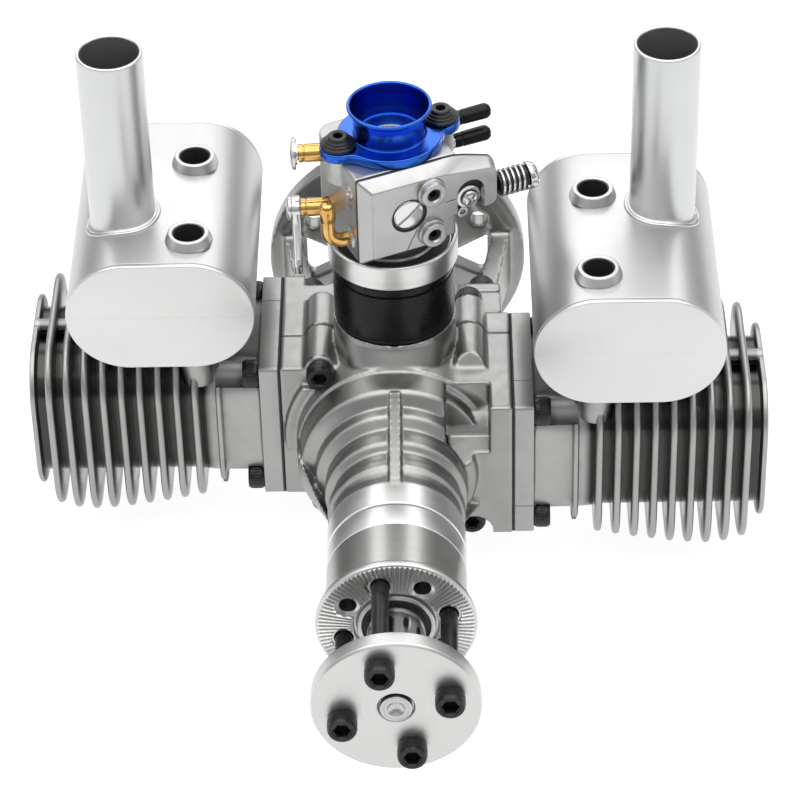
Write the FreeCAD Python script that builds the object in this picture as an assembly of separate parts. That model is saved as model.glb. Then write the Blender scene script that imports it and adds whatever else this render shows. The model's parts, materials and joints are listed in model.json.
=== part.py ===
import FreeCAD, Part
import math
import os

# Flat twin-cylinder two-stroke aircraft engine.
# Millimetres. X runs to the right cylinder, -Y to the propeller, +Z up to the carburettor.
# The origin is where the crank axis meets the firewall face at the back.

os.makedirs("parts", exist_ok=True)
V = FreeCAD.Vector
X_AXIS = V(1, 0, 0)
Y_AXIS = V(0, 1, 0)
Z_AXIS = V(0, 0, 1)

# General fits
running = 0.07          # radial play of a shaft or piston in its bore
loose = 0.05            # radial play of a part that stays put in its hole
gap = 0.35              # free space beside a part that moves past another
gasket = 0.5
head_play = 0.3         # free space round a screw head in its pocket
press_play = 0.02       # radial play of a part that is pressed or clamped on its shaft
through = 60.0          # a cut that runs clear of what it goes through

# Cylinders and crank
bore = 36.0
stroke = 30.0
rod_length = 54.0
pin_to_crown = 18.0
left_y = -72.0
cylinder_stagger = 20.5
throw = stroke / 2
right_y = left_y - cylinder_stagger
intake_y = (left_y + right_y) / 2
squish = 1.0

# Crankcase
split_y = -79.0
barrel_r = 30.4
barrel_front = -104.5
barrel_rear = -53.0
rear_shoulder_r = 25.0
rear_cap_wall = 3.5
rear_cap = 5.0
chamber_r = 25.6
pad_x = 35.2
pad_half_y = 24.0
pad_half_z = 24.5
pad_corner = 3.0
shelf_z = 9.0
shelf_front = -104.0
boss_block_x = 28.2
toe_x = 13.7
mount_foot = 6.0
nose_r = 20.5
nose_front = -154.5
rib_width = 4.1
rib_top_y = -113.0
rib_top_z = 28.5
rib_foot_y = -145.5
rib_foot_z = 21.0
rib_edge = 1.0
terrace_floor_z = -10.0
smooth_below = 9        # the terraces' count down to which the cone's underside is smooth
# Lands and grooves of the terraced front cone, as (place on Y, radius), from the barrel to the nose
terraces = [
    (barrel_front, 29.2), (-107.4, 27.6), (-110.2, 28.8), (-113.2, 28.0), (-115.4, 24.6), (-118.0, 24.6),
    (-120.4, 23.6), (-121.8, 21.2), (-124.4, 21.9), (-127.4, 21.3), (-130.4, 19.6), (-134.0, 20.8),
    (-137.4, 20.4), (-140.4, 19.2), (-144.6, nose_r)]

# Crankcase screws
case_screw_x = 22.7
case_screw_z = 24.0
case_boss_r = 4.7
case_boss_rear = -65.0
case_boss_front_left = -96.0
case_boss_front_right = -94.4
case_boss_front_low = -107.0
case_screw_reach = 11.0

# Cylinder barrels
flange_x = 41.5
neck_step = 1.0
neck_corner = 12.0
neck_ring_x = 54.0
neck_ring_half = 26.0
first_fin_x = 61.0
fin_pitch = 5.5
fin_thickness = 1.8
fin_count = 9
widest_fin = 6          # counted from the crankcase, the first being 0
first_fin_half = 28.2
widest_fin_half = 31.5
last_fin_half = 29.9
fin_corner = 15.0
head_cap_x = 111.5
head_cap_half = 25.3
barrel_core_r = 22.0
spigot_x = 30.0
spigot_r = 20.5
dome_height = 6.0
plug_hole_r = 5.0
plug_pocket_r = 9.0
plug_pocket_depth = 7.0
fin_post_r = 2.5
fin_post_z = 24.0
base_screw_inset_y = 4.0
base_screw_inset_z = 4.5
base_screw_reach = 6.8
exhaust_x = 60.0
exhaust_top = 31.5
exhaust_half_x = 9.5
exhaust_half_y = 26.0
exhaust_thread = 10.0
exhaust_depth = 12.5
port_half_x = 6.0
port_half_y = 11.0
port_corner = 4.0

# Mufflers
muffler_x = 69.0
muffler_width = 56.0
muffler_height = 37.3
muffler_floor = 33.0
muffler_ahead = 33.2
muffler_behind = 43.8
muffler_wall = 1.4
end_plate = 1.6
sleeve_spread = 20.0
sleeve_r = 4.9
sleeve_bore_r = 2.75
sleeve_mouth_r = 4.65
sleeve_ring_r = 6.25
sleeve_base_r = 7.1
sleeve_proud = 2.9
sleeve_mouth_depth = 30.0
sleeve_base = 1.2
weld_ring = 1.2
plate_edge = 0.7
muffler_thread = 8.0
stack_r = 9.8
stack_bore_r = 8.6
stack_top = 127.0
stack_x = 80.5
stack_y = -77.5
stack_ring_r = 10.9

# Screws, metric socket heads
m5_r = 2.5
m5_head_r = 4.3
m5_head = 5.0
m4_r = 2.0
m4_head_r = 3.5
m5_hex = 4.0

# Intake column
intake_r = 18.25
intake_bore_r = 13.0
intake_boss_top = 36.0
spacer_top = 57.2
clamp_r = 19.5
clamp_top = 65.6
clamp_bore_r = 15.6
spacer_groove_drop = 2.0
spacer_groove = 0.6
clamp_edge = 0.6
reed_side = 4.0
reed_flange = 2.0
reed_tip = 1.2
reed_wall = 2.0
petal_thickness = 0.3

# Carburettor, drawn square to its front cover and then turned about the throat
carb_turn = 24.5
carb_foot_z = 62.2
carb_foot_r = 15.2
carb_foot = 1.6
carb_neck_r = 12.4
carb_low = 69.0
carb_top = 98.0
carb_left = -17.5
carb_right = 14.4
carb_front = -14.3
carb_back = 16.7
carb_corner = 6.0
throat_r = 8.0
venturi_r = 6.6
throat_taper = 5.0
thread_depth = 8.0
ear_height = 9.0
ear_lug_r = 3.7
arm_back = 1.4
needle_block_half = 4.5
needle_block_x = 22.5

# Front cover: a tall plate with wide slanting edges and an arm to the right
cover_thickness = 5.0
cover_step = 1.4
cover_slant = 3.0
arm_slant = 1.0
cover_reach = 26.4
cover_corner = 2.0
lobe_x = 2.0
lobe_side_x = 9.0
lobe_side_z = 73.5
arm_start_x = 10.8
arm_low = 79.0
arm_drop = 4.0
shoulder_x = 14.0
slant_shoulder_x = 6.0
recess_x = 17.0
recess_half = 4.4
recess_top_z = 86.3
recess_floor = 1.2
light_boss_r = 3.9
light_boss_bore_r = 2.6
light_boss_proud = 2.7
light_boss_x = 4.2
light_boss_drop = 7.4
light_boss_low_z = 76.4
boss_bore_depth = 2.0
plug_disc_x = -2.8
plug_disc_z = 84.1
plug_disc_r = 4.7
plug_groove = 0.9
plug_disc_thickness = 1.4
plug_disc_proud = 0.4
plug_slot_half = 0.6
plug_slot_angle = 35
cover_screw_r = 1.2
cover_screw_head_r = 2.3
cover_screw_head = 1.6
cover_screw_hex = 2.5
pan_screw_z = 82.8
pan_head_r = 3.0
pan_slot_half = 0.4
pan_slot_depth = 0.7
pan_washer_r = 3.9
pan_washer = 0.8

# Carburettor shafts, nearly square to the engine
shaft_turn = 4.0
shaft_r = 2.0
shaft_sleeve_r = 2.4
shaft_sleeve_start = -12.5
shaft_sleeve_end = -27.0
throttle_z = 75.8
choke_drop = 2.8
plate_thickness = 1.0
plate_play = 0.25
shaft_overhang = 4.5
shaft_cap = 1.6
arm_slot_half = 0.9
arm_slot_top = 6.0
arm_eye = 1.2
choke_tab = 11.0
choke_tab_half = 2.0
choke_eye_r = 3.4
shaft_far_end = 11.5
throttle_arm_length = 24.0
throttle_arm_width = 5.0
throttle_cap_r = 3.2
choke_cap_r = 4.9
lever_thickness = 1.4
closed_throttle = 12.0
closed_choke = 8.0

# Mixture needles and idle screw
needle_cap_r = 2.3
needle_stem_r = 1.2
needle_tip_room = 2.0
needle_slot_half = 0.4
needle_slot_depth = 1.5
needle_y = 9.0
needle_high_drop = 5.3
needle_low_drop = 13.2
needle_end = 36.5
idle_y = -16.6
idle_stem_r = 1.5
idle_cap = 3.2
idle_cap_edge = 1.4
idle_slot_half = 0.5
idle_z = 84.7
idle_hold = 4.0
idle_spring_r = 4.2
idle_wire_r = 0.55
idle_spring_length = 9.6
idle_turns = 4
idle_cap_r = 4.2

# Velocity stack
bell_flange_r = 15.5
bell_flange = 3.0
bell_ear_r = 5.6
bell_bolt_half = 16.4
bell_r = 10.7
bell_bore_r = 9.2
bell_lip_r = 12.3
bell_height = 12.7
bell_lip = 1.4
bell_edge = 0.4
stack_screw_head = 2.4
stack_screw_hex = 2.5
stack_washer_r = 4.5
stack_washer = 0.8

# Fuel elbow
elbow_r = 2.1
elbow_bore_r = 1.1
elbow_bend_r = 5.0
elbow_y = -9.2
elbow_z = 74.6
elbow_depth = 4.0
elbow_x = -24.4
elbow_top = 89.0

# Crank train
journal_r = 8.5
rear_journal_r = 7.5
crank_pin_r = 4.25
big_end_bore_r = 6.25
big_end_r = 8.2
small_end_r = 7.6
small_end_bore_r = 6.0
rod_width = 10.0
rod_shank = 5.0
web_thickness = 9.0
web_r = 24.6
web_heavy = 3.0
centre_drill_r = 2.9
centre_drill = 5.0
pin_boss_r = 9.0
wrist_pin_r = 4.5
piston_below = 12.0
piston_wall = 2.4
crown_thickness = 4.5
ring_height = 1.2
ring_depth = 1.7
pin_boss_gap = 6.2
piston_boss_r = 7.2
piston_boss_inset = 1.5
ring_below_crown = 4.0
ring_play = 0.05
wrist_pin_inset = 2.0
wrist_pin_bore_r = 2.5
rod_flare = 1.5
rod_channel_half = 3.0
rod_channel = 3.2

# Bearings and seal
front_bearing_r = 17.5
front_bearing_width = 10.0
rear_bearing_r = 16.0
rear_bearing_width = 9.0
nose_bearing_front = -151.5
front_bearing_front = -118.0
seal_width = 2.6
tunnel_r = 13.0
race = 3.0
ball_sink = 0.6         # how far the balls sit in the races
ball_play = 0.02
balls_per_bearing = 8
seal_back = 0.1

# Propeller drive
magnet_length = 8.6
magnet_gap = 0.5
hub_length = 21.9
hub_flange_r = 23.3
hub_flange = 3.4
hub_r = 20.5
hub_recess_r = 12.3
hub_recess = 2.0
hub_ring_r = 11.0
prop_circle_r = 15.75
prop_first_angle = 15.7
prop_screws_count = 4
stub_length = 12.5
crank_tip_r = 4.5
crank_tip_proud = 0.5
washer_r = 24.0
washer_thickness = 5.3
propeller_room = 28.1
washer_bore_r = 5.1
prop_screw_depth = 12.0
hub_edge = 0.8
hub_ring_drop = 0.3
free_hole_chamfer = 0.8
washer_edge = 0.5

# Rear mount
mount_r = 41.5
mount_inner_r = 33.5
mount_thickness = 6.5
mount_hub_r = 15.0
mount_hub_bore_r = 8.0
spoke_width = 14.0
firewall_half_x = 26.7
firewall_half_z = 15.2
firewall_hole_r = 2.75
cheek_foot = 5.0
cheek_x = 27.0
cheek_half_z = 17.0
cheek_thickness = 6.0
cheek_root_half_z = 6.5
cheek_corner = 3.0
mount_web = 2.0
cheek_end_x = 34.0
cheek_end_half_z = 10.0
mount_screw_z = 12.0
mount_screw_reach = 6.0


def rod(radius, start, axis, length):
    """A plain cylinder from a start point along an axis."""
    return Part.makeCylinder(radius, length, start, axis)


def tube(radius, inner, start, axis, length):
    return rod(radius, start, axis, length).cut(rod(inner, start, axis, length))


def block(x0, x1, y0, y1, z0, z1):
    return Part.makeBox(x1 - x0, y1 - y0, z1 - z0, V(x0, y0, z0))


def turned(points, axis_point, axis):
    """Revolve a closed outline of points about an axis."""
    face = Part.Face(Part.makePolygon(points + [points[0]]))
    return face.revolve(axis_point, axis, 360)


def rounded_plate(half_u, half_v, corner, thickness):
    """A rounded rectangle in the XY plane, centred, raised by its thickness along +Z."""
    corner = min(corner, half_u, half_v)
    u = half_u - corner
    v = half_v - corner
    s = corner * math.sqrt(0.5)
    arcs = [(u, -half_v, u + s, -v - s, half_u, -v), (half_u, v, u + s, v + s, u, half_v),
            (-u, half_v, -u - s, v + s, -half_u, v), (-half_u, -v, -u - s, -v - s, -u, -half_v)]
    edges = []
    last = None
    for x0, y0, xm, ym, x1, y1 in arcs:
        start = V(x0, y0, 0)
        if last is not None and last.distanceToPoint(start) > 1e-6:
            edges.append(Part.LineSegment(last, start).toShape())
        edges.append(Part.Arc(start, V(xm, ym, 0), V(x1, y1, 0)).toShape())
        last = V(x1, y1, 0)
    first = V(arcs[0][0], arcs[0][1], 0)
    if last.distanceToPoint(first) > 1e-6:
        edges.append(Part.LineSegment(last, first).toShape())
    return Part.Face(Part.Wire(edges)).extrude(V(0, 0, thickness))


def facing(shape, direction, place):
    """Stand a shape drawn along +Z so that it points along another direction, at a place."""
    shape.Placement = FreeCAD.Placement(place, FreeCAD.Rotation(Z_AXIS, direction))
    return shape


def along_x(half_y, half_z, corner, x0, x1, y=0.0):
    """A rounded rectangle prism between two places on X, centred on the given Y."""
    plate = rounded_plate(half_z, half_y, corner, x1 - x0)
    turn = FreeCAD.Rotation(Y_AXIS, 90)
    plate.Placement = FreeCAD.Placement(V(x0, y, 0), turn)
    return plate


def along_y(half_x, half_z, corner, x, z, y0, y1):
    """A rounded rectangle prism between two places on Y."""
    plate = rounded_plate(half_x, half_z, corner, y1 - y0)
    turn = FreeCAD.Rotation(X_AXIS, -90)
    plate.Placement = FreeCAD.Placement(V(x, y0, z), turn)
    return plate


def join(shapes):
    whole = shapes[0]
    if len(shapes) > 1:
        whole = whole.fuse(shapes[1:])
    return whole.removeSplitter()


def without(shape, tools):
    return shape.cut(Part.makeCompound(tools))


def turned_about(shape, degrees, centre, axis=Z_AXIS):
    copy = shape.copy()
    copy.rotate(centre, axis, degrees)
    return copy


def socket_screw(radius, head_r, head, hexagon, length):
    """A socket head screw: the seat of its head at the origin, its head up +Z, its shank down."""
    flats = Part.makePolygon([V(hexagon / 2 / math.cos(math.pi / 6) * math.cos(math.radians(60 * i)),
                                hexagon / 2 / math.cos(math.pi / 6) * math.sin(math.radians(60 * i)),
                                head * 0.45) for i in range(7)])
    body = rod(head_r, V(0, 0, 0), Z_AXIS, head).cut(Part.Face(flats).extrude(V(0, 0, head)))
    return body.fuse(rod(radius, V(0, 0, -length), Z_AXIS, length)).removeSplitter()


def save(name, shape):
    shape.exportStep("parts/" + name + ".step")


def both_sides(build):
    """Build a piece for the right cylinder and a turned copy of it for the left one."""
    shapes = []
    for y, turn in ((right_y, 0), (left_y, 180)):
        shape = build()
        shape.rotate(V(0, 0, 0), Z_AXIS, turn)
        shape.translate(V(0, y, 0))
        shapes.append(shape)
    return shapes


def save_pair(name, build):
    right, left = both_sides(build)
    save(name + "_right", right)
    save(name + "_left", left)


def save_group(name, build):
    save(name, Part.makeCompound(both_sides(build)))


# Places that several pieces share
barrel_flange_face = pad_x + gasket
web_front_face = right_y - rod_width / 2 - gap
web_centre_front = right_y + rod_width / 2 + gap
web_centre_rear = left_y - rod_width / 2 - gap
web_rear_face = left_y + rod_width / 2 + gap
chamber_front = web_front_face - web_thickness - gap
chamber_rear = web_rear_face + web_thickness + gap
pin_top_x = throw + rod_length
bore_top_x = pin_top_x + pin_to_crown + squish
carb_centre = V(0, intake_y, 0)
cover_face = carb_front - cover_thickness
bell_top = carb_top + bell_height
choke_z = carb_top - choke_drop
needle_high_z = carb_top - needle_high_drop
needle_low_z = carb_top - needle_low_drop
arm_top = carb_top - arm_drop
light_boss_high_z = carb_top - light_boss_drop
idle_spring_start = cover_reach + press_play
idle_start = cover_reach - idle_hold - gap
muffler_mid_z = muffler_floor + muffler_height / 2
nose_bearing_rear = nose_bearing_front + front_bearing_width
rear_bearing_front = chamber_rear + gap
rear_bearing_end = rear_bearing_front + rear_bearing_width
pad_rear = left_y + pad_half_y
neck_half = pad_half_y - neck_step
base_screw_y = pad_half_y - base_screw_inset_y
base_screw_z = pad_half_z - base_screw_inset_z
magnet_rear = nose_front - magnet_gap
magnet_front = magnet_rear - magnet_length
hub_front = magnet_front - hub_length
stub_front = hub_front - stub_length
washer_back = hub_front - propeller_room
washer_front = washer_back - washer_thickness
crank_tip_front = washer_front - crank_tip_proud


def case_screw_seats():
    """Each long crankcase screw as (x, z, seat of its head on Y, direction of its head)."""
    return [(-case_screw_x, case_screw_z, case_boss_front_left, -1),
            (-case_screw_x, -case_screw_z, case_boss_front_left, -1),
            (case_screw_x, -case_screw_z, case_boss_front_low, -1),
            (case_screw_x, case_screw_z, case_boss_rear, 1)]


def front_cone():
    """The terraced cone between the barrel and the nose, its ribs running over the top only."""
    curve = Part.BSplineCurve()
    curve.interpolate([V(0, y, r) for y, r in terraces])
    start = V(0, terraces[0][0], terraces[0][1])
    end = V(0, terraces[-1][0], terraces[-1][1])
    tip = V(0, nose_front, nose_r)
    outline = [Part.LineSegment(V(0, start.y, 0), start).toShape(), curve.toShape(),
               Part.LineSegment(end, tip).toShape(), Part.LineSegment(tip, V(0, nose_front, 0)).toShape(),
               Part.LineSegment(V(0, nose_front, 0), V(0, start.y, 0)).toShape()]
    ribs = Part.Face(Part.Wire(outline)).revolve(V(0, 0, 0), Y_AXIS, 360)
    smooth_end = terraces[smooth_below]
    skirt = Part.makeCone(barrel_r, smooth_end[1], barrel_front - smooth_end[0], V(0, barrel_front, 0),
                          V(0, -1, 0))
    skirt = skirt.common(block(-barrel_r, barrel_r, smooth_end[0], barrel_front, -barrel_r, terrace_floor_z))
    return ribs.fuse(skirt)


def top_rib():
    """The straight rib down the middle of the cone."""
    outline = [V(0, rib_top_y, 0), V(0, rib_top_y, rib_top_z),
               V(0, rib_top_y - rib_edge, rib_top_z + rib_edge),
               V(0, rib_foot_y, rib_foot_z), V(0, rib_foot_y, 0)]
    face = Part.Face(Part.makePolygon(outline + [outline[0]]))
    face.translate(V(-rib_width / 2, 0, 0))
    rib = face.extrude(V(rib_width, 0, 0))
    return rib.cut(rod(tunnel_r + rib_edge, V(0, rib_foot_y, 0), Y_AXIS, rib_top_y - rib_foot_y))


def side_pads():
    """The blocks that carry the two cylinders, with the stepped front of the right one."""
    left_front = left_y - pad_half_y
    left_rear = pad_rear
    right_front = right_y - pad_half_y
    right_rear = right_y + pad_half_y
    left = along_x(pad_half_y, pad_half_z, pad_corner, -pad_x, 0, left_y)
    left = left.cut(block(-boss_block_x, 0, barrel_rear, left_rear + 1, -pad_half_z, pad_half_z))
    right = along_x(pad_half_y, pad_half_z, pad_corner, 0, pad_x, right_y)
    step = block(0, boss_block_x, right_front - 1, shelf_front, shelf_z, pad_half_z + 1)
    toe = block(0, toe_x, right_front - 1, barrel_front, -pad_half_z - 1, shelf_z)
    middle = block(-boss_block_x, boss_block_x, left_front, right_rear, -pad_half_z, pad_half_z)
    low_relief = block(0, boss_block_x, right_front - 1, case_boss_front_low, -pad_half_z - 1,
                       -case_screw_z + 2 * case_boss_r)
    return join([left, without(right, [step, toe, low_relief]), middle])


def case_bosses():
    """Round bosses along the four long screws that hold the crankcase halves together."""
    bosses = []
    for x, z, seat, way in case_screw_seats():
        front = case_boss_front_right if way > 0 else seat
        bosses.append(rod(case_boss_r, V(x, front, z), Y_AXIS, case_boss_rear - front))
    return bosses


def crankcase_whole():
    barrel = rod(barrel_r, V(0, barrel_front, 0), Y_AXIS, barrel_rear - barrel_front)
    shoulder = Part.makeCone(barrel_r, rear_shoulder_r, pad_rear - barrel_rear, V(0, barrel_rear, 0), Y_AXIS)
    cap = rod(rear_bearing_r + rear_cap_wall, V(0, pad_rear, 0), Y_AXIS, rear_cap)
    feet = [block(s * cheek_x - cheek_thickness, s * cheek_x + cheek_thickness, barrel_rear - mount_foot,
                  pad_rear, -cheek_half_z, cheek_half_z) for s in (-1, 1)]
    intake = rod(intake_r, V(0, intake_y, 0), Z_AXIS, intake_boss_top)
    parts = [barrel, shoulder, cap, side_pads(), intake, front_cone(), top_rib()]
    outside = join(parts + case_bosses() + feet)
    hollow = [rod(chamber_r, V(0, chamber_front, 0), Y_AXIS, chamber_rear - chamber_front),
              rod(spigot_r + loose, V(-pad_x - 1, left_y, 0), X_AXIS, pad_x + 1),
              rod(spigot_r + loose, V(0, right_y, 0), X_AXIS, pad_x + 1),
              rod(intake_bore_r, V(0, intake_y, 0), Z_AXIS, intake_boss_top + 1),
              rod(front_bearing_r + loose, V(0, front_bearing_front, 0), Y_AXIS,
                  chamber_front - front_bearing_front),
              rod(tunnel_r, V(0, nose_bearing_rear, 0), Y_AXIS, front_bearing_front - nose_bearing_rear),
              rod(front_bearing_r + loose, V(0, nose_front - 1, 0), Y_AXIS,
                  nose_bearing_rear - nose_front + 1),
              rod(rear_bearing_r + loose, V(0, chamber_rear, 0), Y_AXIS,
                  rear_bearing_end - chamber_rear)]
    hollow += base_screw_holes() + case_screw_holes() + mount_screw_holes()
    return without(outside, hollow)


def base_screw_places():
    return [(y, z) for y in (-base_screw_y, base_screw_y) for z in (-base_screw_z, base_screw_z)]


def base_screw_holes():
    holes = []
    for side, y in ((-1, left_y), (1, right_y)):
        for dy, z in base_screw_places():
            start = V(side * (pad_x - base_screw_reach - gap), y + dy, z)
            holes.append(rod(m5_r + loose, start, V(side, 0, 0), base_screw_reach + 2 * gap))
    return holes


def case_screw_holes():
    holes = []
    for x, z, seat, way in case_screw_seats():
        reach = abs(seat - split_y) + case_screw_reach + 1
        holes.append(rod(m5_r + loose, V(x, seat, z), V(0, -way, 0), reach))
        holes.append(rod(m5_head_r + head_play, V(x, seat, z), V(0, way, 0), 2 * m5_head))
    return holes


def mount_screw_holes():
    low = pad_rear - mount_screw_reach - gap
    return [rod(m5_r + loose, V(x, low, z), Y_AXIS, mount_screw_reach + 2 * gap)
            for x in (-cheek_x, cheek_x) for z in (-mount_screw_z, mount_screw_z)]


def crankcase_halves():
    whole = crankcase_whole()
    far = 200.0
    front = whole.common(block(-far, far, -far, split_y, -far, far))
    rear = whole.common(block(-far, far, split_y, far, -far, far))
    save("crankcase_front", front)
    save("crankcase_rear", rear)


def crankcase_screws():
    screws = []
    for x, z, seat, way in case_screw_seats():
        screw = socket_screw(m5_r, m5_head_r, m5_head, m5_hex, abs(seat - split_y) + case_screw_reach)
        screws.append(facing(screw, V(0, way, 0), V(x, seat, z)))
    save("crankcase_screws", Part.makeCompound(screws))


def fin_half(i):
    """Half the width of a fin: they swell towards the head and draw in again at its end."""
    if i <= widest_fin:
        return widest_fin_half - (widest_fin_half - first_fin_half) * ((widest_fin - i) / widest_fin) ** 1.5
    share = (i - widest_fin) / (fin_count - 1 - widest_fin)
    return widest_fin_half - (widest_fin_half - last_fin_half) * share ** 2


def cylinder_barrel():
    """One cylinder with its fins, drawn for the right side with its axis on X."""
    parts = [along_x(pad_half_y, pad_half_z, pad_corner, barrel_flange_face, flange_x),
             along_x(neck_half, neck_half, neck_corner, flange_x, first_fin_x),
             along_x(neck_ring_half, neck_ring_half, fin_corner, neck_ring_x - fin_thickness / 2,
                     neck_ring_x + fin_thickness / 2),
             rod(barrel_core_r, V(flange_x, 0, 0), X_AXIS, head_cap_x - flange_x),
             rod(spigot_r, V(spigot_x, 0, 0), X_AXIS, barrel_flange_face - spigot_x)]
    for i in range(fin_count):
        half = fin_half(i)
        x = first_fin_x + i * fin_pitch
        parts.append(along_x(half, half, fin_corner, x - fin_thickness / 2, x + fin_thickness / 2))
    parts.append(along_x(head_cap_half, head_cap_half, fin_corner, head_cap_x - fin_thickness, head_cap_x))
    parts.append(rod(fin_post_r, V(first_fin_x, 0, fin_post_z), X_AXIS, head_cap_x - first_fin_x))
    port = rounded_plate(exhaust_half_x, exhaust_half_y, exhaust_half_x, exhaust_top)
    port.translate(V(exhaust_x, 0, 0))
    port = port.cut(block(0, head_cap_x, -exhaust_half_y, exhaust_half_y, 0, exhaust_top - exhaust_depth))
    parts.append(port)
    dome = Part.makeCone(bore / 2, bore / 2 - dome_height, dome_height, V(bore_top_x, 0, 0), X_AXIS)
    passage = rounded_plate(port_half_x, port_half_y, port_corner, exhaust_top)
    passage.translate(V(exhaust_x, 0, 0))
    hollow = [rod(bore / 2, V(spigot_x - 1, 0, 0), X_AXIS, bore_top_x - spigot_x + 1), dome, passage,
              rod(plug_hole_r, V(bore_top_x, 0, 0), X_AXIS, head_cap_x - bore_top_x),
              rod(plug_pocket_r, V(head_cap_x - plug_pocket_depth, 0, 0), X_AXIS, plug_pocket_depth)]
    for y, z in base_screw_places():
        hollow.append(rod(m5_r + loose, V(pad_x, y, z), X_AXIS, flange_x - pad_x))
        hollow.append(rod(m5_head_r + head_play, V(flange_x, y, z), X_AXIS, 2 * m5_head))
    thread_end = exhaust_top - exhaust_thread
    for y in (-sleeve_spread, sleeve_spread):
        hollow.append(rod(m5_r + loose, V(exhaust_x, y, thread_end), Z_AXIS, exhaust_thread))
    return without(join(parts), hollow)


def base_gasket():
    plate = along_x(pad_half_y, pad_half_z, pad_corner, pad_x, barrel_flange_face)
    holes = [rod(spigot_r + loose, V(pad_x, 0, 0), X_AXIS, gasket)]
    for y, z in base_screw_places():
        holes.append(rod(m5_r + loose, V(pad_x, y, z), X_AXIS, gasket))
    return without(plate, holes)


def base_screws():
    screws = []
    for y, z in base_screw_places():
        screw = socket_screw(m5_r, m5_head_r, m5_head, m5_hex, flange_x - pad_x + base_screw_reach)
        screws.append(facing(screw, X_AXIS, V(flange_x, y, z)))
    return Part.makeCompound(screws)


def exhaust_gasket():
    plate = rounded_plate(exhaust_half_x, exhaust_half_y, exhaust_half_x, gasket)
    passage = rounded_plate(port_half_x, port_half_y, port_corner, gasket)
    holes = [passage]
    for y in (-sleeve_spread, sleeve_spread):
        holes.append(rod(m5_r + loose, V(0, y, 0), Z_AXIS, gasket))
    plate = without(plate, holes)
    plate.translate(V(exhaust_x, 0, exhaust_top))
    return plate


def muffler_section(inset, y0, y1):
    half_x = muffler_width / 2 - inset
    half_z = muffler_height / 2 - inset
    return along_y(half_x, half_z, half_z, 0, muffler_mid_z, y0, y1)


def muffler_parts(side, y):
    """The welded can, its two end plates, its screw sleeves and its outlet stack."""
    x = side * muffler_x
    front = y - muffler_ahead
    rear = y + muffler_behind
    can = muffler_section(0, front + end_plate, rear - end_plate)
    can = can.cut(muffler_section(muffler_wall, front, rear))
    can.translate(V(x, 0, 0))
    foot_top = muffler_floor + muffler_wall
    foot = rounded_plate(exhaust_half_x, exhaust_half_y, exhaust_half_x, foot_top - exhaust_top - gasket)
    foot.translate(V(side * exhaust_x, y, exhaust_top + gasket))
    passage = rounded_plate(port_half_x, port_half_y, port_corner, foot_top - exhaust_top + gap)
    passage.translate(V(side * exhaust_x, y, exhaust_top))
    roof = muffler_floor + muffler_height
    holes = [passage, rod(stack_r + loose, V(side * stack_x, stack_y, muffler_mid_z), Z_AXIS, muffler_height)]
    for dy in (-sleeve_spread, sleeve_spread):
        holes.append(rod(sleeve_r + loose, V(side * exhaust_x, y + dy, exhaust_top), Z_AXIS, through))
    can = without(can.fuse(foot), holes)
    plates = []
    for y0, step in ((front, 1), (rear - end_plate, -1)):
        plate = muffler_section(0, y0, y0 + end_plate)
        plate.translate(V(x, 0, 0))
        rim = [e for e in plate.Edges if abs(e.BoundBox.YLength) < 1e-6
               and abs(e.BoundBox.YMin - (front if step > 0 else rear)) < 1e-6]
        plates.append(plate.makeChamfer(plate_edge, rim))
    sleeves = []
    for dy in (-sleeve_spread, sleeve_spread):
        at = V(side * exhaust_x, y + dy, exhaust_top + gasket)
        top = roof + sleeve_proud
        sleeve = rod(sleeve_r, at, Z_AXIS, top - at.z)
        ring = rod(sleeve_ring_r, V(at.x, at.y, roof), Z_AXIS, sleeve_proud)
        base = rod(sleeve_base_r, V(at.x, at.y, roof), Z_AXIS, sleeve_base)
        mouth = rod(sleeve_mouth_r, V(at.x, at.y, top - sleeve_mouth_depth), Z_AXIS, sleeve_mouth_depth)
        sleeve = join([sleeve, ring, base])
        sleeves.append(without(sleeve, [mouth, rod(sleeve_bore_r, at, Z_AXIS, muffler_height)]))
    stack_low = muffler_mid_z
    stack_at = V(side * stack_x, stack_y, stack_low)
    stack = rod(stack_r, stack_at, Z_AXIS, stack_top - stack_low)
    weld = rod(stack_ring_r, V(stack_at.x, stack_at.y, roof), Z_AXIS, weld_ring)
    stack = without(stack.fuse(weld), [rod(stack_bore_r, stack_at, Z_AXIS, stack_top - stack_low)])
    return can, Part.makeCompound(plates), Part.makeCompound(sleeves), stack


def muffler_screws(side, y):
    screws = []
    seat = muffler_floor + muffler_height + sleeve_proud - sleeve_mouth_depth
    for dy in (-sleeve_spread, sleeve_spread):
        screw = socket_screw(m5_r, m5_head_r, m5_head, m5_hex, seat - exhaust_top + muffler_thread)
        screw.translate(V(side * exhaust_x, y + dy, seat))
        screws.append(screw)
    return Part.makeCompound(screws)


def mufflers():
    plates = []
    sleeves = []
    screws = []
    for name, side, y in (("left", -1, left_y), ("right", 1, right_y)):
        can, ends, pair, stack = muffler_parts(side, y)
        save("muffler_can_" + name, can)
        save("exhaust_stack_" + name, stack)
        plates.append(ends)
        sleeves.append(pair)
        screws.append(muffler_screws(side, y))
    save("muffler_end_plates", Part.makeCompound(plates))
    save("muffler_screw_sleeves", Part.makeCompound(sleeves))
    save("muffler_screws", Part.makeCompound(screws))


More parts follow.
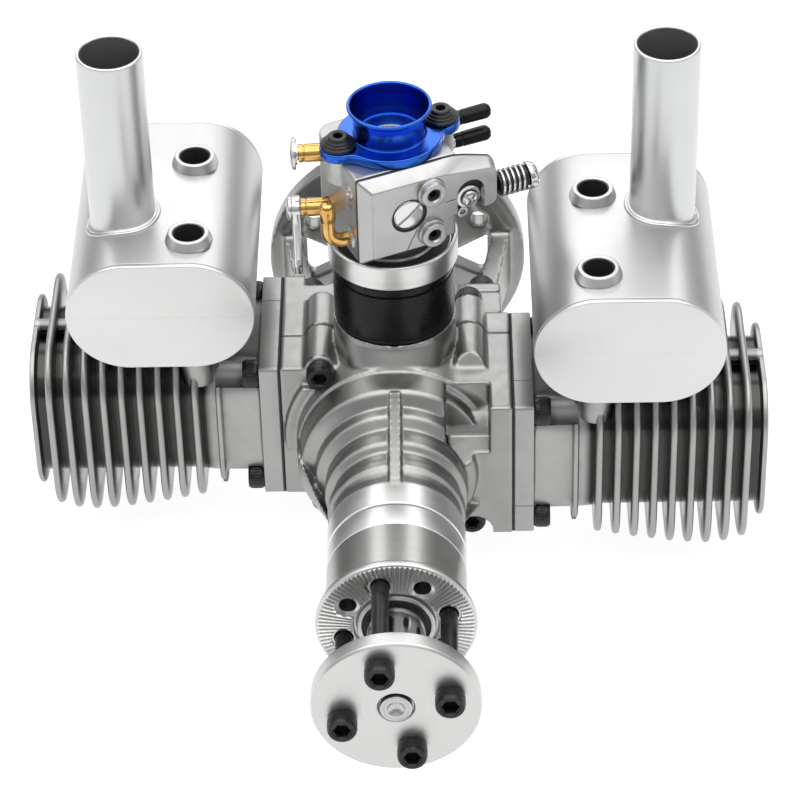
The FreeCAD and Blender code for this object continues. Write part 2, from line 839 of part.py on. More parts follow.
def reed_cage():
    """A short wedge with two petals; it stays above the swing of the crank webs."""
    low = intake_boss_top
    foot = chamber_r + 2 * gap
    wide = intake_bore_r - reed_side
    cage = rod(intake_bore_r - press_play, V(0, 0, low), Z_AXIS, reed_flange)
    wedge = Part.Face(Part.makePolygon([V(-wide, -wide, low), V(wide, -wide, low), V(reed_tip, -wide, foot),
                                        V(-reed_tip, -wide, foot), V(-wide, -wide, low)]))
    wedge = wedge.extrude(V(0, 2 * wide, 0))
    mouth = wide - reed_wall
    corners = [V(-mouth, -mouth, low + reed_flange), V(mouth, -mouth, low + reed_flange),
               V(0, -mouth, foot + reed_wall)]
    inside = Part.Face(Part.makePolygon(corners + [corners[0]]))
    reed_block = without(join([cage, wedge]), [inside.extrude(V(0, 2 * mouth, 0))])
    slope = math.atan2(wide - reed_tip, low - foot)
    length = math.hypot(wide - reed_tip, low - foot)
    petal = block(0, petal_thickness, -wide + gap, wide - gap, gap, length - 2 * gap)
    petal.rotate(V(0, 0, 0), Y_AXIS, math.degrees(slope))
    petal.translate(V(reed_tip + loose, 0, foot))
    petals = Part.makeCompound([petal, petal.mirror(V(0, 0, 0), X_AXIS)])
    for name, shape in (("reed_block", reed_block), ("reed_petals", petals)):
        shape.translate(V(0, intake_y, 0))
        save(name, shape)


def intake_column():
    """The reed cage, the black spacer and the clamp ring below the carburettor."""
    low = intake_boss_top
    groove_z = spacer_top - spacer_groove_drop
    spacer = tube(intake_r, intake_bore_r, V(0, intake_y, low), Z_AXIS, spacer_top - low)
    rings = [tube(clamp_r, intake_r - spacer_groove, V(0, intake_y, z), Z_AXIS, spacer_groove)
             for z in (low + 2 * spacer_groove, groove_z - spacer_groove, groove_z + spacer_groove)]
    save("intake_spacer", without(spacer, rings))
    ring = tube(clamp_r, intake_bore_r, V(0, intake_y, spacer_top), Z_AXIS, clamp_top - spacer_top)
    seat = rod(clamp_bore_r, V(0, intake_y, carb_foot_z - gasket), Z_AXIS, clamp_top - carb_foot_z + gasket)
    ring = ring.cut(seat)
    rims = [e for e in ring.Edges if e.BoundBox.ZLength < 1e-6 and abs(e.BoundBox.XMax - clamp_r) < 1e-3]
    save("intake_clamp_ring", ring.makeChamfer(clamp_edge, rims))
    reed_cage()
    seal = tube(carb_foot_r, intake_bore_r, V(0, intake_y, carb_foot_z - gasket), Z_AXIS, gasket)
    save("carburettor_gasket", seal)


def carburettor_body():
    mid_x = (carb_left + carb_right) / 2
    mid_y = (carb_front + carb_back) / 2
    half_y = (carb_back - carb_front) / 2
    height = carb_top - carb_low
    rear = rounded_plate(carb_right - mid_x, half_y, carb_corner, height)
    rear.translate(V(mid_x, mid_y, carb_low))
    front = block(carb_left, carb_right, carb_front, mid_y, carb_low, carb_top)
    foot = rod(carb_foot_r, V(0, 0, carb_foot_z), Z_AXIS, carb_foot)
    neck = rod(carb_neck_r, V(0, 0, carb_foot_z), Z_AXIS, carb_low - carb_foot_z)
    arm = block(shoulder_x - arm_slant, cover_reach - arm_slant, carb_front, carb_front + arm_back,
                arm_low + arm_slant, arm_top - arm_slant)
    needle_block = block(carb_right - gap, needle_block_x, needle_y - needle_block_half,
                         needle_y + needle_block_half, needle_low_z - needle_block_half, carb_top - arm_slant)
    ears = [rod(ear_lug_r, V(s * bell_bolt_half, 0, carb_top - ear_height), Z_AXIS, ear_height)
            for s in (-1, 1)]
    body = join([rear, front, foot, neck, arm, needle_block] + ears)
    waist = (throttle_z + choke_z) / 2
    throat = turned([V(0, 0, carb_foot_z), V(throat_r, 0, carb_foot_z),
                     V(throat_r, 0, throttle_z + throat_taper), V(venturi_r, 0, waist),
                     V(throat_r, 0, choke_z - throat_taper), V(throat_r, 0, carb_top), V(0, 0, carb_top)],
                    V(0, 0, 0), Z_AXIS)
    hollow = [throat]
    for z in (throttle_z, choke_z):
        bore_line = rod(shaft_r + running, V(-through, 0, z), X_AXIS, through + shaft_far_end + gap)
        seat = rod(shaft_sleeve_r + loose, V(-through, 0, z), X_AXIS, through + shaft_sleeve_start)
        hollow += [turned_about(line, shaft_turn - carb_turn, V(0, 0, 0)) for line in (bore_line, seat)]
    tip = throat_r + needle_tip_room
    for z in (needle_high_z, needle_low_z):
        hollow.append(rod(needle_stem_r + running, V(tip, needle_y, z), X_AXIS, through))
    for x in (-bell_bolt_half, bell_bolt_half):
        hollow.append(rod(m4_r + loose, V(x, 0, carb_top - thread_depth), Z_AXIS, through))
    reach = carb_left + elbow_depth - elbow_x
    hollow.append(rod(elbow_r + loose, V(elbow_x, elbow_y, elbow_z), X_AXIS, reach))
    return without(body, hollow)


def cover_wire(slant, arm_edge, y):
    """The front cover's outline; its front is drawn in by a wide slant and by a narrow one on the arm."""
    left = carb_left + slant
    low = carb_low + slant
    lobe = lobe_x + slant
    side_x = lobe_side_x - arm_edge
    start_x = arm_start_x - arm_edge
    right = cover_reach - arm_edge
    shoulder = shoulder_x if slant == 0 else slant_shoulder_x
    points = [(left, low), (lobe, low), (side_x, lobe_side_z + arm_edge), (start_x, arm_low + arm_edge),
              (right - cover_corner, arm_low + arm_edge), (right, arm_low + arm_edge + cover_corner),
              (right, arm_top - arm_edge - cover_corner), (right - cover_corner, arm_top - arm_edge),
              (shoulder, carb_top - slant), (left, carb_top - slant)]
    places = [V(x, y, z) for x, z in points]
    return Part.makePolygon(places + [places[0]])


def front_cover():
    step = carb_front - cover_step
    base = Part.Face(cover_wire(0, 0, step)).extrude(V(0, cover_step, 0))
    edges = [cover_wire(0, 0, step), cover_wire(cover_slant, arm_slant, cover_face)]
    raised = Part.makeLoft(edges, True, True)
    ahead = cover_face - light_boss_proud
    floor = carb_front - recess_floor
    recess = block(recess_x - recess_half, recess_x + recess_half, ahead, floor, arm_low - gap, recess_top_z)
    arch = rod(recess_half, V(recess_x, ahead, recess_top_z), Y_AXIS, floor - ahead)
    bosses = []
    holes = [recess, arch, rod(cover_screw_r + loose, V(recess_x, ahead, pan_screw_z), Y_AXIS, through)]
    for x, z in light_boss_places():
        bosses.append(rod(light_boss_r, V(x, ahead, z), Y_AXIS, light_boss_proud + cover_slant))
        holes.append(rod(light_boss_bore_r, V(x, ahead, z), Y_AXIS, boss_bore_depth))
        holes.append(rod(cover_screw_r + loose, V(x, ahead, z), Y_AXIS, through))
    holes.append(rod(plug_disc_r + plug_groove, V(plug_disc_x, ahead, plug_disc_z), Y_AXIS,
                     light_boss_proud + plug_disc_thickness - plug_disc_proud))
    holes.append(rod(idle_stem_r + running, V(idle_start, idle_y, idle_z), X_AXIS, through))
    return without(join([base, raised] + bosses), holes)


def light_boss_places():
    return [(light_boss_x, light_boss_high_z), (light_boss_x, light_boss_low_z)]


def cover_screws():
    """Socket screws in the two light bosses, and a cross-slotted screw with its washer in the recess."""
    boss_floor = cover_face - light_boss_proud + boss_bore_depth
    screws = []
    for x, z in light_boss_places():
        screw = socket_screw(cover_screw_r, cover_screw_head_r, cover_screw_head, cover_screw_hex,
                             carb_front - boss_floor)
        screws.append(facing(screw, V(0, -1, 0), V(x, boss_floor, z)))
    z = pan_screw_z
    floor = carb_front - recess_floor
    top = floor - pan_washer - cover_screw_head
    washer = tube(pan_washer_r, cover_screw_r + loose, V(recess_x, floor - pan_washer, z), Y_AXIS, pan_washer)
    head = rod(pan_head_r, V(recess_x, top, z), Y_AXIS, cover_screw_head)
    slot = block(recess_x - pan_head_r * 0.7, recess_x + pan_head_r * 0.7, top, top + pan_slot_depth,
                 z - pan_slot_half, z + pan_slot_half)
    head = without(head, [slot, turned_about(slot, 90, V(recess_x, 0, z), Y_AXIS)])
    shank = rod(cover_screw_r, V(recess_x, floor - pan_washer, z), Y_AXIS, pan_washer + recess_floor)
    return Part.makeCompound(screws + [head.fuse(shank), washer])


def slotted_plug():
    face = cover_face - plug_disc_proud
    disc = rod(plug_disc_r, V(plug_disc_x, face, plug_disc_z), Y_AXIS, plug_disc_thickness)
    slot = block(plug_disc_x - plug_disc_r, plug_disc_x + plug_disc_r, face, cover_face,
                 plug_disc_z - plug_slot_half, plug_disc_z + plug_slot_half)
    return disc.cut(turned_about(slot, plug_slot_angle, V(plug_disc_x, 0, plug_disc_z), Y_AXIS))


def velocity_stack():
    low = carb_top
    flange = rod(bell_flange_r, V(0, 0, low), Z_AXIS, bell_flange)
    ears = [rod(bell_ear_r, V(s * bell_bolt_half, 0, low), Z_AXIS, bell_flange) for s in (-1, 1)]
    bridge = block(-bell_bolt_half, bell_bolt_half, -bell_ear_r, bell_ear_r, low, low + bell_flange)
    bell = turned([V(0, 0, low), V(bell_r, 0, low), V(bell_r, 0, bell_top - 2 * bell_lip),
                   V(bell_lip_r, 0, bell_top - bell_lip), V(bell_lip_r, 0, bell_top - bell_edge),
                   V(bell_lip_r - bell_edge, 0, bell_top), V(0, 0, bell_top)], V(0, 0, 0), Z_AXIS)
    inside = turned([V(0, 0, low), V(throat_r + bell_edge, 0, low), V(bell_bore_r, 0, low + bell_flange),
                     V(bell_bore_r, 0, bell_top - 2 * bell_lip), V(bell_lip_r - bell_lip, 0, bell_top),
                     V(0, 0, bell_top)], V(0, 0, 0), Z_AXIS)
    holes = [rod(m4_r + loose, V(s * bell_bolt_half, 0, low), Z_AXIS, bell_flange) for s in (-1, 1)]
    return without(join([flange, bridge, bell] + ears), holes + [inside])


def stack_screws():
    screws = []
    for s in (-1, 1):
        at = V(s * bell_bolt_half, 0, carb_top + bell_flange)
        length = stack_washer + bell_flange + thread_depth - gap
        screw = socket_screw(m4_r, m4_head_r, stack_screw_head, stack_screw_hex, length)
        screw.translate(at + V(0, 0, stack_washer))
        washer = tube(stack_washer_r, m4_r + loose, at, Z_AXIS, stack_washer)
        screws += [screw, washer]
    return Part.makeCompound(screws)


def needle(z):
    """A mixture needle with its black cap, pointing to the throat."""
    cap_start = needle_block_x + gap
    tip = throat_r + needle_tip_room + loose
    stem = rod(needle_stem_r, V(tip, 0, z), X_AXIS, cap_start - tip)
    cap = rod(needle_cap_r, V(cap_start, 0, z), X_AXIS, needle_end - cap_start)
    slot = block(needle_end - needle_slot_depth, needle_end, -needle_cap_r, needle_cap_r,
                 z - needle_slot_half, z + needle_slot_half)
    whole = stem.fuse(cap).cut(slot).removeSplitter()
    whole.translate(V(0, needle_y, 0))
    return whole


def idle_screw():
    head = idle_spring_start + idle_spring_length
    start = idle_start + gap
    stem = rod(idle_stem_r, V(start, idle_y, idle_z), X_AXIS, head - start)
    cap = rod(idle_cap_r, V(head, idle_y, idle_z), X_AXIS, idle_cap)
    rims = [e for e in cap.Edges if e.BoundBox.XLength < 1e-6 and e.BoundBox.XMin > head + idle_cap / 2]
    cap = cap.makeFillet(idle_cap_edge, rims)
    slot = block(head + idle_cap / 2, head + idle_cap, idle_y - idle_cap_r, idle_y + idle_cap_r,
                 idle_z - idle_slot_half, idle_z + idle_slot_half)
    return stem.fuse(cap).cut(slot).removeSplitter()


def idle_spring():
    start = idle_spring_start + idle_wire_r + press_play
    run = idle_spring_length - 2 * idle_wire_r - gap
    radius = idle_spring_r - idle_wire_r
    steps = idle_turns * 8
    centre = V(start, idle_y, idle_z)
    points = []
    for i in range(steps + 1):
        angle = 2 * math.pi * idle_turns * i / steps
        points.append(centre + V(run * i / steps, radius * math.cos(angle), radius * math.sin(angle)))
    curve = Part.BSplineCurve()
    curve.interpolate(points)
    path = Part.Wire([curve.toShape()])
    ring = Part.Wire([Part.Circle(points[0], curve.tangent(0)[0], idle_wire_r).toShape()])
    return path.makePipeShell([ring], True, True)


def fuel_elbow():
    """A brass elbow out of the left face and up to the fuel hose."""
    start = V(carb_left + elbow_depth - gap, elbow_y, elbow_z)
    bend = V(elbow_x + elbow_bend_r, elbow_y, elbow_z)
    turn = elbow_bend_r * (1 - math.sqrt(0.5))
    middle = V(elbow_x + turn, elbow_y, elbow_z + turn)
    upright = V(elbow_x, elbow_y, elbow_z + elbow_bend_r)
    path = [Part.LineSegment(start, bend).toShape(), Part.Arc(bend, middle, upright).toShape(),
            Part.LineSegment(upright, V(elbow_x, elbow_y, elbow_top)).toShape()]
    wire = Part.Wire(path)
    outer, inner = [wire.makePipeShell([Part.Wire([Part.Circle(start, X_AXIS, r).toShape()])], True, True)
                    for r in (elbow_r, elbow_bore_r)]
    return outer.cut(inner)


def butterfly(z, tilt, cap_r):
    """A shaft across the throat with its round plate, and the cap that ends it on the left."""
    end = shaft_sleeve_end - shaft_overhang
    shaft = rod(shaft_r, V(end, 0, z), X_AXIS, shaft_far_end - end)
    plate = rod(throat_r - plate_play, V(0, 0, z - plate_thickness / 2), Z_AXIS, plate_thickness)
    plate.rotate(V(0, 0, z), X_AXIS, tilt)
    flat = block(-throat_r, throat_r, -shaft_r, shaft_r, plate_thickness / 2, shaft_r)
    flat.translate(V(0, 0, z))
    flat.rotate(V(0, 0, z), X_AXIS, tilt)
    cap = rod(cap_r, V(end, 0, z), X_AXIS, shaft_cap)
    return shaft.cut(flat).cut(plate), plate, cap


def shaft_sleeve(z):
    """The brass sleeve that carries the outer end of a shaft."""
    length = shaft_sleeve_start - shaft_sleeve_end
    return tube(shaft_sleeve_r, shaft_r + running, V(shaft_sleeve_end, 0, z), X_AXIS, length)


def throttle_arm():
    """The slotted arm that hangs from the throttle shaft."""
    outer = shaft_sleeve_end - gap
    x0 = outer - lever_thickness
    half = throttle_arm_width / 2
    arm = block(x0, outer, -half, half, throttle_z - throttle_arm_length + half, throttle_z)
    ends = [rod(half, V(x0, 0, throttle_z - throttle_arm_length + half), X_AXIS, lever_thickness),
            rod(half + arm_eye, V(x0, 0, throttle_z), X_AXIS, lever_thickness)]
    slot_low = throttle_z - throttle_arm_length + half
    slot = block(x0, outer, -arm_slot_half, arm_slot_half, slot_low, throttle_z - arm_slot_top)
    slot_end = rod(arm_slot_half, V(x0, 0, slot_low), X_AXIS, lever_thickness)
    hole = rod(shaft_r, V(x0, 0, throttle_z), X_AXIS, lever_thickness)
    return without(join([arm] + ends), [slot, slot_end, hole])


def choke_lever():
    """A short tab on the choke shaft, for a finger or a rod."""
    outer = shaft_sleeve_end - gap
    x0 = outer - lever_thickness
    tab = block(x0, outer, 0, choke_tab, choke_z - choke_tab_half, choke_z + choke_tab_half)
    ends = [rod(choke_tab_half, V(x0, choke_tab, choke_z), X_AXIS, lever_thickness),
            rod(choke_eye_r, V(x0, 0, choke_z), X_AXIS, lever_thickness)]
    holes = [rod(shaft_r, V(x0, 0, choke_z), X_AXIS, lever_thickness),
             rod(arm_slot_half, V(x0, choke_tab, choke_z), X_AXIS, lever_thickness)]
    return without(join([tab] + ends), holes)


def carburettor():
    """Everything on the carburettor, turned to its place on the intake column."""
    def place(name, shape, turn):
        shape.rotate(V(0, 0, 0), Z_AXIS, turn)
        shape.translate(carb_centre)
        save(name, shape)
    place("carburettor_body", carburettor_body(), carb_turn)
    place("carburettor_front_cover", front_cover(), carb_turn)
    place("carburettor_screws", Part.makeCompound([cover_screws(), stack_screws()]), carb_turn)
    place("carburettor_slotted_plug", slotted_plug(), carb_turn)
    place("velocity_stack", velocity_stack(), carb_turn)
    place("high_speed_needle", needle(needle_high_z), carb_turn)
    place("low_speed_needle", needle(needle_low_z), carb_turn)
    place("idle_screw", idle_screw(), carb_turn)
    place("idle_screw_spring", idle_spring(), carb_turn)
    place("fuel_elbow", fuel_elbow(), carb_turn)
    for word, z, tilt, cap_r in (("throttle", throttle_z, closed_throttle, throttle_cap_r),
                                 ("choke", choke_z, closed_choke, choke_cap_r)):
        shaft, plate, cap = butterfly(z, tilt, cap_r)
        place(word + "_shaft", shaft.fuse(cap).removeSplitter(), shaft_turn)
        place(word + "_plate", plate, shaft_turn)
    place("shaft_sleeves", Part.makeCompound([shaft_sleeve(throttle_z), shaft_sleeve(choke_z)]), shaft_turn)
    place("throttle_arm", throttle_arm(), shaft_turn)
    place("choke_lever", choke_lever(), shaft_turn)


def counterweight_web(y, side):
    """A crank web: pin boss to one side, counterweight to the other."""
    disc = rod(web_r, V(0, y, 0), Y_AXIS, web_thickness)
    heavy = disc.common(block(-web_r, web_heavy, y, y + web_thickness, -web_r, web_r))
    arm = block(0, throw, y, y + web_thickness, -pin_boss_r, pin_boss_r)
    web = join([heavy, arm, rod(pin_boss_r, V(throw, y, 0), Y_AXIS, web_thickness)])
    if side < 0:
        web = turned_about(web, 180, V(0, y + web_thickness / 2, 0), Y_AXIS)
    return web


def crankshaft():
    """Front shaft, centre web and rear shaft; the crank pins stop at the faces of the rods."""
    front_web_y = web_front_face - web_thickness
    stub = gap / 2
    front = join([counterweight_web(front_web_y, 1),
                  rod(journal_r, V(0, stub_front, 0), Y_AXIS, front_web_y - stub_front),
                  rod(crank_tip_r, V(0, crank_tip_front, 0), Y_AXIS, stub_front - crank_tip_front),
                  rod(crank_pin_r, V(throw, web_front_face, 0), Y_AXIS, stub)])
    drill = Part.makeCone(centre_drill_r, 0, centre_drill, V(0, crank_tip_front, 0), Y_AXIS)
    save("crankshaft_front", front.cut(drill))
    link = rounded_plate(throw + pin_boss_r, pin_boss_r, pin_boss_r, web_centre_rear - web_centre_front)
    link.Placement = FreeCAD.Placement(V(0, web_centre_front, 0), FreeCAD.Rotation(X_AXIS, -90))
    centre = join([link, rod(crank_pin_r, V(throw, web_centre_front - stub, 0), Y_AXIS, stub),
                   rod(crank_pin_r, V(-throw, web_centre_rear, 0), Y_AXIS, stub)])
    save("crank_centre_web", centre)
    rear = join([counterweight_web(web_rear_face, -1),
                 rod(rear_journal_r, V(0, web_rear_face + web_thickness, 0), Y_AXIS,
                     rear_bearing_end - gap - web_rear_face - web_thickness),
                 rod(crank_pin_r, V(-throw, web_rear_face - stub, 0), Y_AXIS, stub)])
    save("crankshaft_rear", rear)


def ball_bearing(outer, inner, y, width):
    """Two races with a ring of balls between them."""
    outer_race = tube(outer, outer - race, V(0, y, 0), Y_AXIS, width)
    inner_race = tube(inner + race, inner + press_play, V(0, y, 0), Y_AXIS, width)
    middle = (outer + inner) / 2
    ball_r = (outer - inner) / 2 - race + ball_sink
    groove = Part.makeTorus(middle, ball_r, V(0, y + width / 2, 0), Y_AXIS)
    balls = []
    for i in range(balls_per_bearing):
        angle = 2 * math.pi * i / balls_per_bearing
        centre = V(middle * math.cos(angle), y + width / 2, middle * math.sin(angle))
        balls.append(Part.makeSphere(ball_r - ball_play, centre))
    return outer_race.cut(groove), inner_race.cut(groove), Part.makeCompound(balls)


def bearings():
    outer_races = []
    inner_races = []
    balls = []
    for outer, inner, y, width in (
            (front_bearing_r, journal_r, nose_bearing_front, front_bearing_width),
            (front_bearing_r, journal_r, front_bearing_front, front_bearing_width),
            (rear_bearing_r, rear_journal_r, rear_bearing_front, rear_bearing_width)):
        a, b, c = ball_bearing(outer, inner, y, width)
        outer_races.append(a)
        inner_races.append(b)
        balls.append(c)
    save("bearing_outer_races", Part.makeCompound(outer_races))
    save("bearing_inner_races", Part.makeCompound(inner_races))
    save("bearing_balls", Part.makeCompound(balls))
    seal = tube(front_bearing_r, journal_r + running, V(0, nose_front + seal_back, 0), Y_AXIS, seal_width)
    save("crank_seal", seal)


def piston():
    """Piston on the X axis with its wrist pin hole at the origin."""
    radius = bore / 2 - running
    body = rod(radius, V(-piston_below, 0, 0), X_AXIS, piston_below + pin_to_crown)
    inside = rod(radius - piston_wall, V(-piston_below, 0, 0), X_AXIS,
                 piston_below + pin_to_crown - crown_thickness)
    length = radius - pin_boss_gap - piston_boss_inset
    bosses = [rod(piston_boss_r, V(0, s * pin_boss_gap, 0), V(0, s, 0), length) for s in (-1, 1)]
    body = join([body.cut(inside)] + bosses)
    groove_x = pin_to_crown - ring_below_crown
    groove = tube(radius + 1, radius - ring_depth, V(groove_x, 0, 0), X_AXIS, ring_height)
    pin_hole = rod(wrist_pin_r + loose, V(0, -bore, 0), Y_AXIS, 2 * bore)
    return without(body, [groove, pin_hole])


def piston_ring():
    radius = bore / 2 - ring_play
    inner = bore / 2 - running - ring_depth + ring_play
    x = pin_to_crown - ring_below_crown + ring_play
    return tube(radius, inner, V(x, 0, 0), X_AXIS, ring_height - 2 * ring_play)


def wrist_pin():
    half = bore / 2 - running - wrist_pin_inset
    return tube(wrist_pin_r, wrist_pin_bore_r, V(0, -half, 0), Y_AXIS, 2 * half)


def connecting_rod():
    """Rod from the wrist pin at the origin to the crank pin towards -X."""
    half = rod_width / 2
    small = rod(small_end_r, V(0, -half, 0), Y_AXIS, rod_width)
    big = rod(big_end_r, V(-rod_length, -half, 0), Y_AXIS, rod_width)
    wide = rod_shank + rod_flare
    shank = Part.Face(Part.makePolygon([V(0, 0, -rod_shank), V(0, 0, rod_shank), V(-rod_length, 0, wide),
                                        V(-rod_length, 0, -wide), V(0, 0, -rod_shank)]))
    shank.translate(V(0, rod_flare - half, 0))
    shank = shank.extrude(V(0, rod_width - 2 * rod_flare, 0))
    far_end = -rod_length + big_end_r + rod_flare
    near_end = -small_end_r - rod_flare
    channels = [block(far_end, near_end, y0, y0 + rod_channel, -rod_channel_half, rod_channel_half)
                for y0 in (-half, half - rod_channel)]
    holes = [rod(small_end_bore_r, V(0, -half, 0), Y_AXIS, rod_width),
             rod(big_end_bore_r, V(-rod_length, -half, 0), Y_AXIS, rod_width)]
    return without(join([small, big, shank]), holes + channels)


def rod_bearings():
    half = rod_width / 2
    small = tube(small_end_bore_r, wrist_pin_r + running, V(0, -half, 0), Y_AXIS, rod_width)
    big = tube(big_end_bore_r, crank_pin_r + running, V(-rod_length, -half, 0), Y_AXIS, rod_width)
    return Part.makeCompound([small, big])


def at_top_of_stroke(build):
    shape = build()
    shape.translate(V(pin_top_x, 0, 0))
    return shape


def propeller_drive():
    """Magnet ring, drive hub, the washer and the screws that clamp the propeller."""
    bore_r = journal_r + press_play
    magnet = tube(hub_r, bore_r, V(0, magnet_front, 0), Y_AXIS, magnet_length)
    save("magnet_ring", magnet)
    flange_rear = hub_front + hub_flange
    profile = [V(bore_r, 0, magnet_front), V(hub_r, 0, magnet_front), V(hub_r, 0, flange_rear),
               V(hub_flange_r - hub_edge, 0, flange_rear), V(hub_flange_r, 0, flange_rear - hub_edge),
               V(hub_flange_r, 0, hub_front + hub_edge), V(hub_flange_r - hub_edge, 0, hub_front),
               V(hub_recess_r, 0, hub_front), V(hub_recess_r, 0, hub_front + hub_recess),
               V(hub_ring_r, 0, hub_front + hub_recess), V(hub_ring_r, 0, hub_front + hub_ring_drop),
               V(bore_r, 0, hub_front + hub_ring_drop)]
    profile = [V(p.x, p.z, 0) for p in profile]
    hub = turned(profile, V(0, 0, 0), Y_AXIS)
    holes = []
    for i in range(2 * prop_screws_count):
        angle = math.radians(prop_first_angle + i * 180.0 / prop_screws_count)
        at = V(prop_circle_r * math.cos(angle), hub_front, prop_circle_r * math.sin(angle))
        holes.append(rod(m5_r + loose, at, Y_AXIS, prop_screw_depth + gap))
        if i % 2:
            holes.append(Part.makeCone(m5_r + free_hole_chamfer, m5_r, free_hole_chamfer, at, Y_AXIS))
    save("drive_hub", without(hub, holes))
    washer = tube(washer_r, washer_bore_r, V(0, washer_front, 0), Y_AXIS, washer_back - washer_front)
    rims = [e for e in washer.Edges if e.BoundBox.YLength < 1e-6 and abs(e.BoundBox.XMax - washer_r) < 1e-3]
    washer = washer.makeChamfer(washer_edge, rims)
    holes = []
    screws = []
    for i in range(prop_screws_count):
        angle = math.radians(prop_first_angle + i * 360.0 / prop_screws_count)
        at = V(prop_circle_r * math.cos(angle), washer_front, prop_circle_r * math.sin(angle))
        holes.append(rod(m5_r + loose, at, Y_AXIS, washer_back - washer_front))
        screw = socket_screw(m5_r, m5_head_r, m5_head, m5_hex, hub_front - washer_front + prop_screw_depth)
        screws.append(facing(screw, V(0, -1, 0), at))
    save("propeller_washer", without(washer, holes))
    save("propeller_screws", Part.makeCompound(screws))


def rear_mount():
    """The firewall ring, its spokes and the two cheeks that reach forward to the crankcase."""
    depth = mount_thickness
    ring = tube(mount_r, mount_inner_r, V(0, -depth, 0), Y_AXIS, depth)
    hub = rod(mount_hub_r, V(0, -depth, 0), Y_AXIS, depth)
    parts = [ring, hub]
    holes = [rod(mount_hub_bore_r, V(0, -depth, 0), Y_AXIS, depth)]
    for sx in (-1, 1):
        for sz in (-1, 1):
            angle = math.degrees(math.atan2(sz * firewall_half_z, sx * firewall_half_x))
            reach = (mount_inner_r + mount_r) / 2
            spoke = block(0, reach, -depth, 0, -spoke_width / 2, spoke_width / 2)
            parts.append(turned_about(spoke, -angle, V(0, 0, 0), Y_AXIS))
            place = V(sx * firewall_half_x, -depth, sz * firewall_half_z)
            holes.append(rod(firewall_hole_r, place, Y_AXIS, depth))
    for s in (-1, 1):
        ends = sorted((s * (mount_hub_r - mount_web), s * (mount_inner_r + mount_web)))
        parts.append(block(ends[0], ends[1], -mount_web, 0, -firewall_half_z, firewall_half_z))
    face = pad_rear
    for s in (-1, 1):
        near = along_y(cheek_thickness, cheek_half_z, cheek_corner, s * cheek_x, 0, face, face + cheek_foot)
        start = cheek_wire(s * cheek_x, cheek_root_half_z, face + cheek_foot - gap)
        end = cheek_wire(s * cheek_end_x, cheek_end_half_z, -depth + gap)
        parts += [near, Part.makeLoft([start, end], True, True)]
        for z in (-mount_screw_z, mount_screw_z):
            holes.append(rod(m5_r + loose, V(s * cheek_x, face, z), Y_AXIS, cheek_foot))
            seat = V(s * cheek_x, face + cheek_foot, z)
            holes.append(rod(m5_head_r + head_play, seat, Y_AXIS, m5_head + gap))
    outline = rod(mount_r, V(0, face, 0), Y_AXIS, -face)
    save("rear_mount_ring", without(join(parts), holes).common(outline))
    screws = []
    for x in (-cheek_x, cheek_x):
        for z in (-mount_screw_z, mount_screw_z):
            screw = socket_screw(m5_r, m5_head_r, m5_head, m5_hex, cheek_foot + mount_screw_reach)
            screws.append(facing(screw, Y_AXIS, V(x, face + cheek_foot, z)))
    save("rear_mount_screws", Part.makeCompound(screws))


def cheek_wire(x, half_z, y):
    half_x = cheek_thickness / 2
    points = [V(x - half_x, y, -half_z), V(x + half_x, y, -half_z), V(x + half_x, y, half_z),
              V(x - half_x, y, half_z)]
    return Part.makePolygon(points + [points[0]])


crankcase_halves()
crankcase_screws()
save_pair("cylinder", cylinder_barrel)
save_group("cylinder_base_gaskets", base_gasket)
save_group("cylinder_base_screws", base_screws)
save_group("exhaust_gaskets", exhaust_gasket)
mufflers()
intake_column()
carburettor()
crankshaft()
bearings()
for part_name, part_build in (("piston", piston), ("piston_ring", piston_ring), ("wrist_pin", wrist_pin),
                              ("connecting_rod", connecting_rod), ("rod_bearings", rod_bearings)):
    save_pair(part_name, lambda: at_top_of_stroke(part_build))
propeller_drive()
rear_mount()
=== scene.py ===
import bpy
import bmesh
import json
import math
import numpy as np
from mathutils import Matrix, Vector


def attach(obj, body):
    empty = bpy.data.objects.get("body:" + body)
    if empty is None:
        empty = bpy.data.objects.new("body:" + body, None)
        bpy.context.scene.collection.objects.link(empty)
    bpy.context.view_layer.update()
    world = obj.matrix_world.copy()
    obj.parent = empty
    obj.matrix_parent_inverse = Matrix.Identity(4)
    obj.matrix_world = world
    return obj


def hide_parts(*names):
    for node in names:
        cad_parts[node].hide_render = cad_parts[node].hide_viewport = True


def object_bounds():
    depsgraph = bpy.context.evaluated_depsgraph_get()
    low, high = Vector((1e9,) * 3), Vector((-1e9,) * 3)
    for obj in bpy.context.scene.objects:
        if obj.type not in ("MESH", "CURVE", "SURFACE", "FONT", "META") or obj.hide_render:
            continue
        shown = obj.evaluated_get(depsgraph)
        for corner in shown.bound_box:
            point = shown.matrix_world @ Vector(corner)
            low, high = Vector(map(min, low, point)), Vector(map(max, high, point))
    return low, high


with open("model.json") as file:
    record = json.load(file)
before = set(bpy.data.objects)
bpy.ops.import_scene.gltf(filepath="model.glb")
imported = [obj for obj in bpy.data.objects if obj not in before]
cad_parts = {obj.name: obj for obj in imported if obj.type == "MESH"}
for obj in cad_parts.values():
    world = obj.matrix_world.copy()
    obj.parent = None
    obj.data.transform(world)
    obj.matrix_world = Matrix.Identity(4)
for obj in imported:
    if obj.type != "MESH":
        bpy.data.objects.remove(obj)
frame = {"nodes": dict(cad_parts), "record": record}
cad_low, cad_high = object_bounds()

# Every length below is in millimetres; meshes are scaled to metres when they are made.
MM = 0.001

